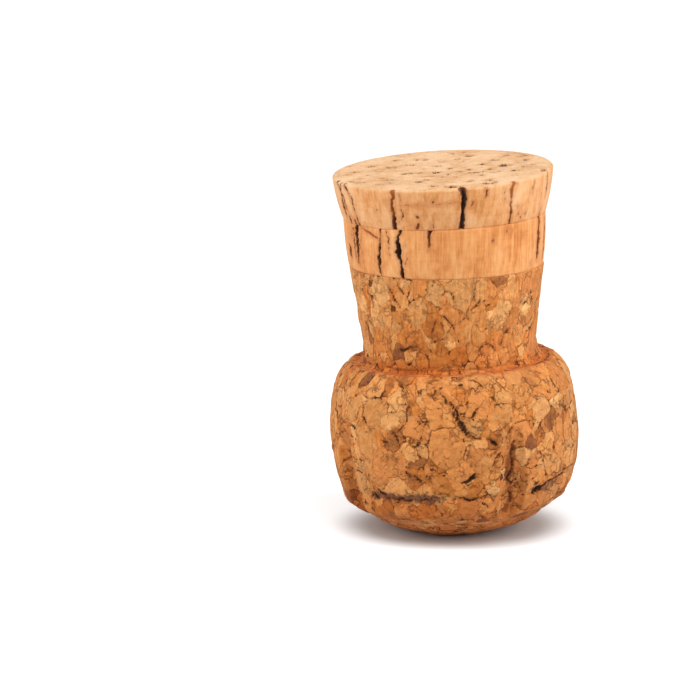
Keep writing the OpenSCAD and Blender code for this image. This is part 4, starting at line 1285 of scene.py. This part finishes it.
disc_x, disc_y = square_to_disc(FACE_CELLS)
disc_r = np.hypot(disc_x, disc_y)
disc_turn = np.degrees(np.arctan2(disc_x, -disc_y)) % 360.0
rim_r = np.hypot(grid[-1, :, 0], grid[-1, :, 1])
column_turns = np.arange(SHEET_COLUMNS + 1) * 360.0 / SHEET_COLUMNS
rim_at = np.interp(disc_turn, column_turns, np.r_[rim_r, rim_r[0]])
# The face's border follows the side's last ring, which evens out towards the middle. Pores are read at
# stirred places, so that their edges fray.
full_r = END_R - RIM_ROUND
face_r = disc_r * full_r * (1.0 - disc_r**8 * (1.0 - rim_at / full_r))
face_x = face_r * np.sin(np.radians(disc_turn))
face_y = -face_r * np.cos(np.radians(disc_turn))
where = np.stack([face_x, face_y, 0.0 * face_x], axis=-1)
torn_x = face_x + 0.34 * noise(where, 0.9, 71) + 0.22 * noise(where, 0.40, 72)
torn_y = face_y + 0.34 * noise(where, 0.9, 73) + 0.22 * noise(where, 0.40, 74)
main_pores = [
    (pore_x, pore_y, along * PORE_ALONG, across * PORE_ACROSS, tilt)
    for pore_x, pore_y, along, across, tilt in FACE_PORES
]
face_edge = pore_edges(torn_x, torn_y, main_pores + small_pores(draw, SMALL_PORES)) - PORE_FRAYED
face_z = end_height(face_x, face_y) + 0.05 * noise(where, 5.0, 75) * (1.0 - disc_r**8)
face_z = face_z - PORE_DEPTH * rise(-face_edge, -0.04, 0.16) * (disc_r < 0.995)

# The face's border is the side's last ring, so the two share their vertices.
ring_index = np.round(disc_turn * SHEET_COLUMNS / 360.0).astype(int) % SHEET_COLUMNS
low_rings = np.stack([grid[0] * [share, share, 1.0] for share in FLAT_RINGS])
closed = np.concatenate([low_rings, grid])
side_count = closed.shape[0] * SHEET_COLUMNS
border = disc_r > 1.0 - 0.5 / FACE_CELLS
index = np.zeros(disc_r.shape, int)
index[border] = side_count - SHEET_COLUMNS + ring_index[border]
index[~border] = side_count + np.arange((~border).sum())
face_quads = [index[:-1, :-1], index[1:, :-1], index[1:, 1:], index[:-1, 1:]]
face_quads = np.stack(face_quads, axis=-1).reshape(-1, 4)
face_places = np.stack([face_x, face_y, face_z], axis=-1)[~border]
low_pole = side_count + len(face_places)
places = np.concatenate([closed.reshape(-1, 3), face_places, [[0.0, 0.0, INNER_TOP_Z]]])
places = places - [SHANK_OFFSET, 0.0, 0.0]
quads = np.concatenate([ring_faces(closed.shape[0], SHEET_COLUMNS), face_quads])
# The tones of the side and of the sanded face, from dark to light.
END_TONES = [(0.62, 0.240, 0.070), (0.77, 0.345, 0.125), (0.84, 0.430, 0.190), (0.88, 0.520, 0.270)]
FACE_TONES = [(0.56, 0.250, 0.090), (0.74, 0.415, 0.190), (0.82, 0.500, 0.260), (0.87, 0.590, 0.350)]
end = new_piece(
    "end_cork_disc", stand(places), quads, fan_faces(first_ring, low_pole, False),
    natural_cork("natural_cork_end", END_TONES, FACE_TONES, 1.1), "end_disc")
on_face = rise(RIM_ROUND - from_top, 0.0, RIM_ROUND)[:, None] + 0.0 * edge
pore = np.zeros((len(places), 3))
pore[:, 0] = FAR_OUTSIDE
pore[flat_count:side_count] = np.stack([capped(edge), filling, on_face], axis=-1).reshape(-1, 3)
pore[side_count:low_pole, 0] = capped(face_edge[~border])
pore[side_count:low_pole, 1] = FACE_FILLING
pore[side_count:low_pole, 2] = 1.0
give(end, "pore", "POINT", pore)
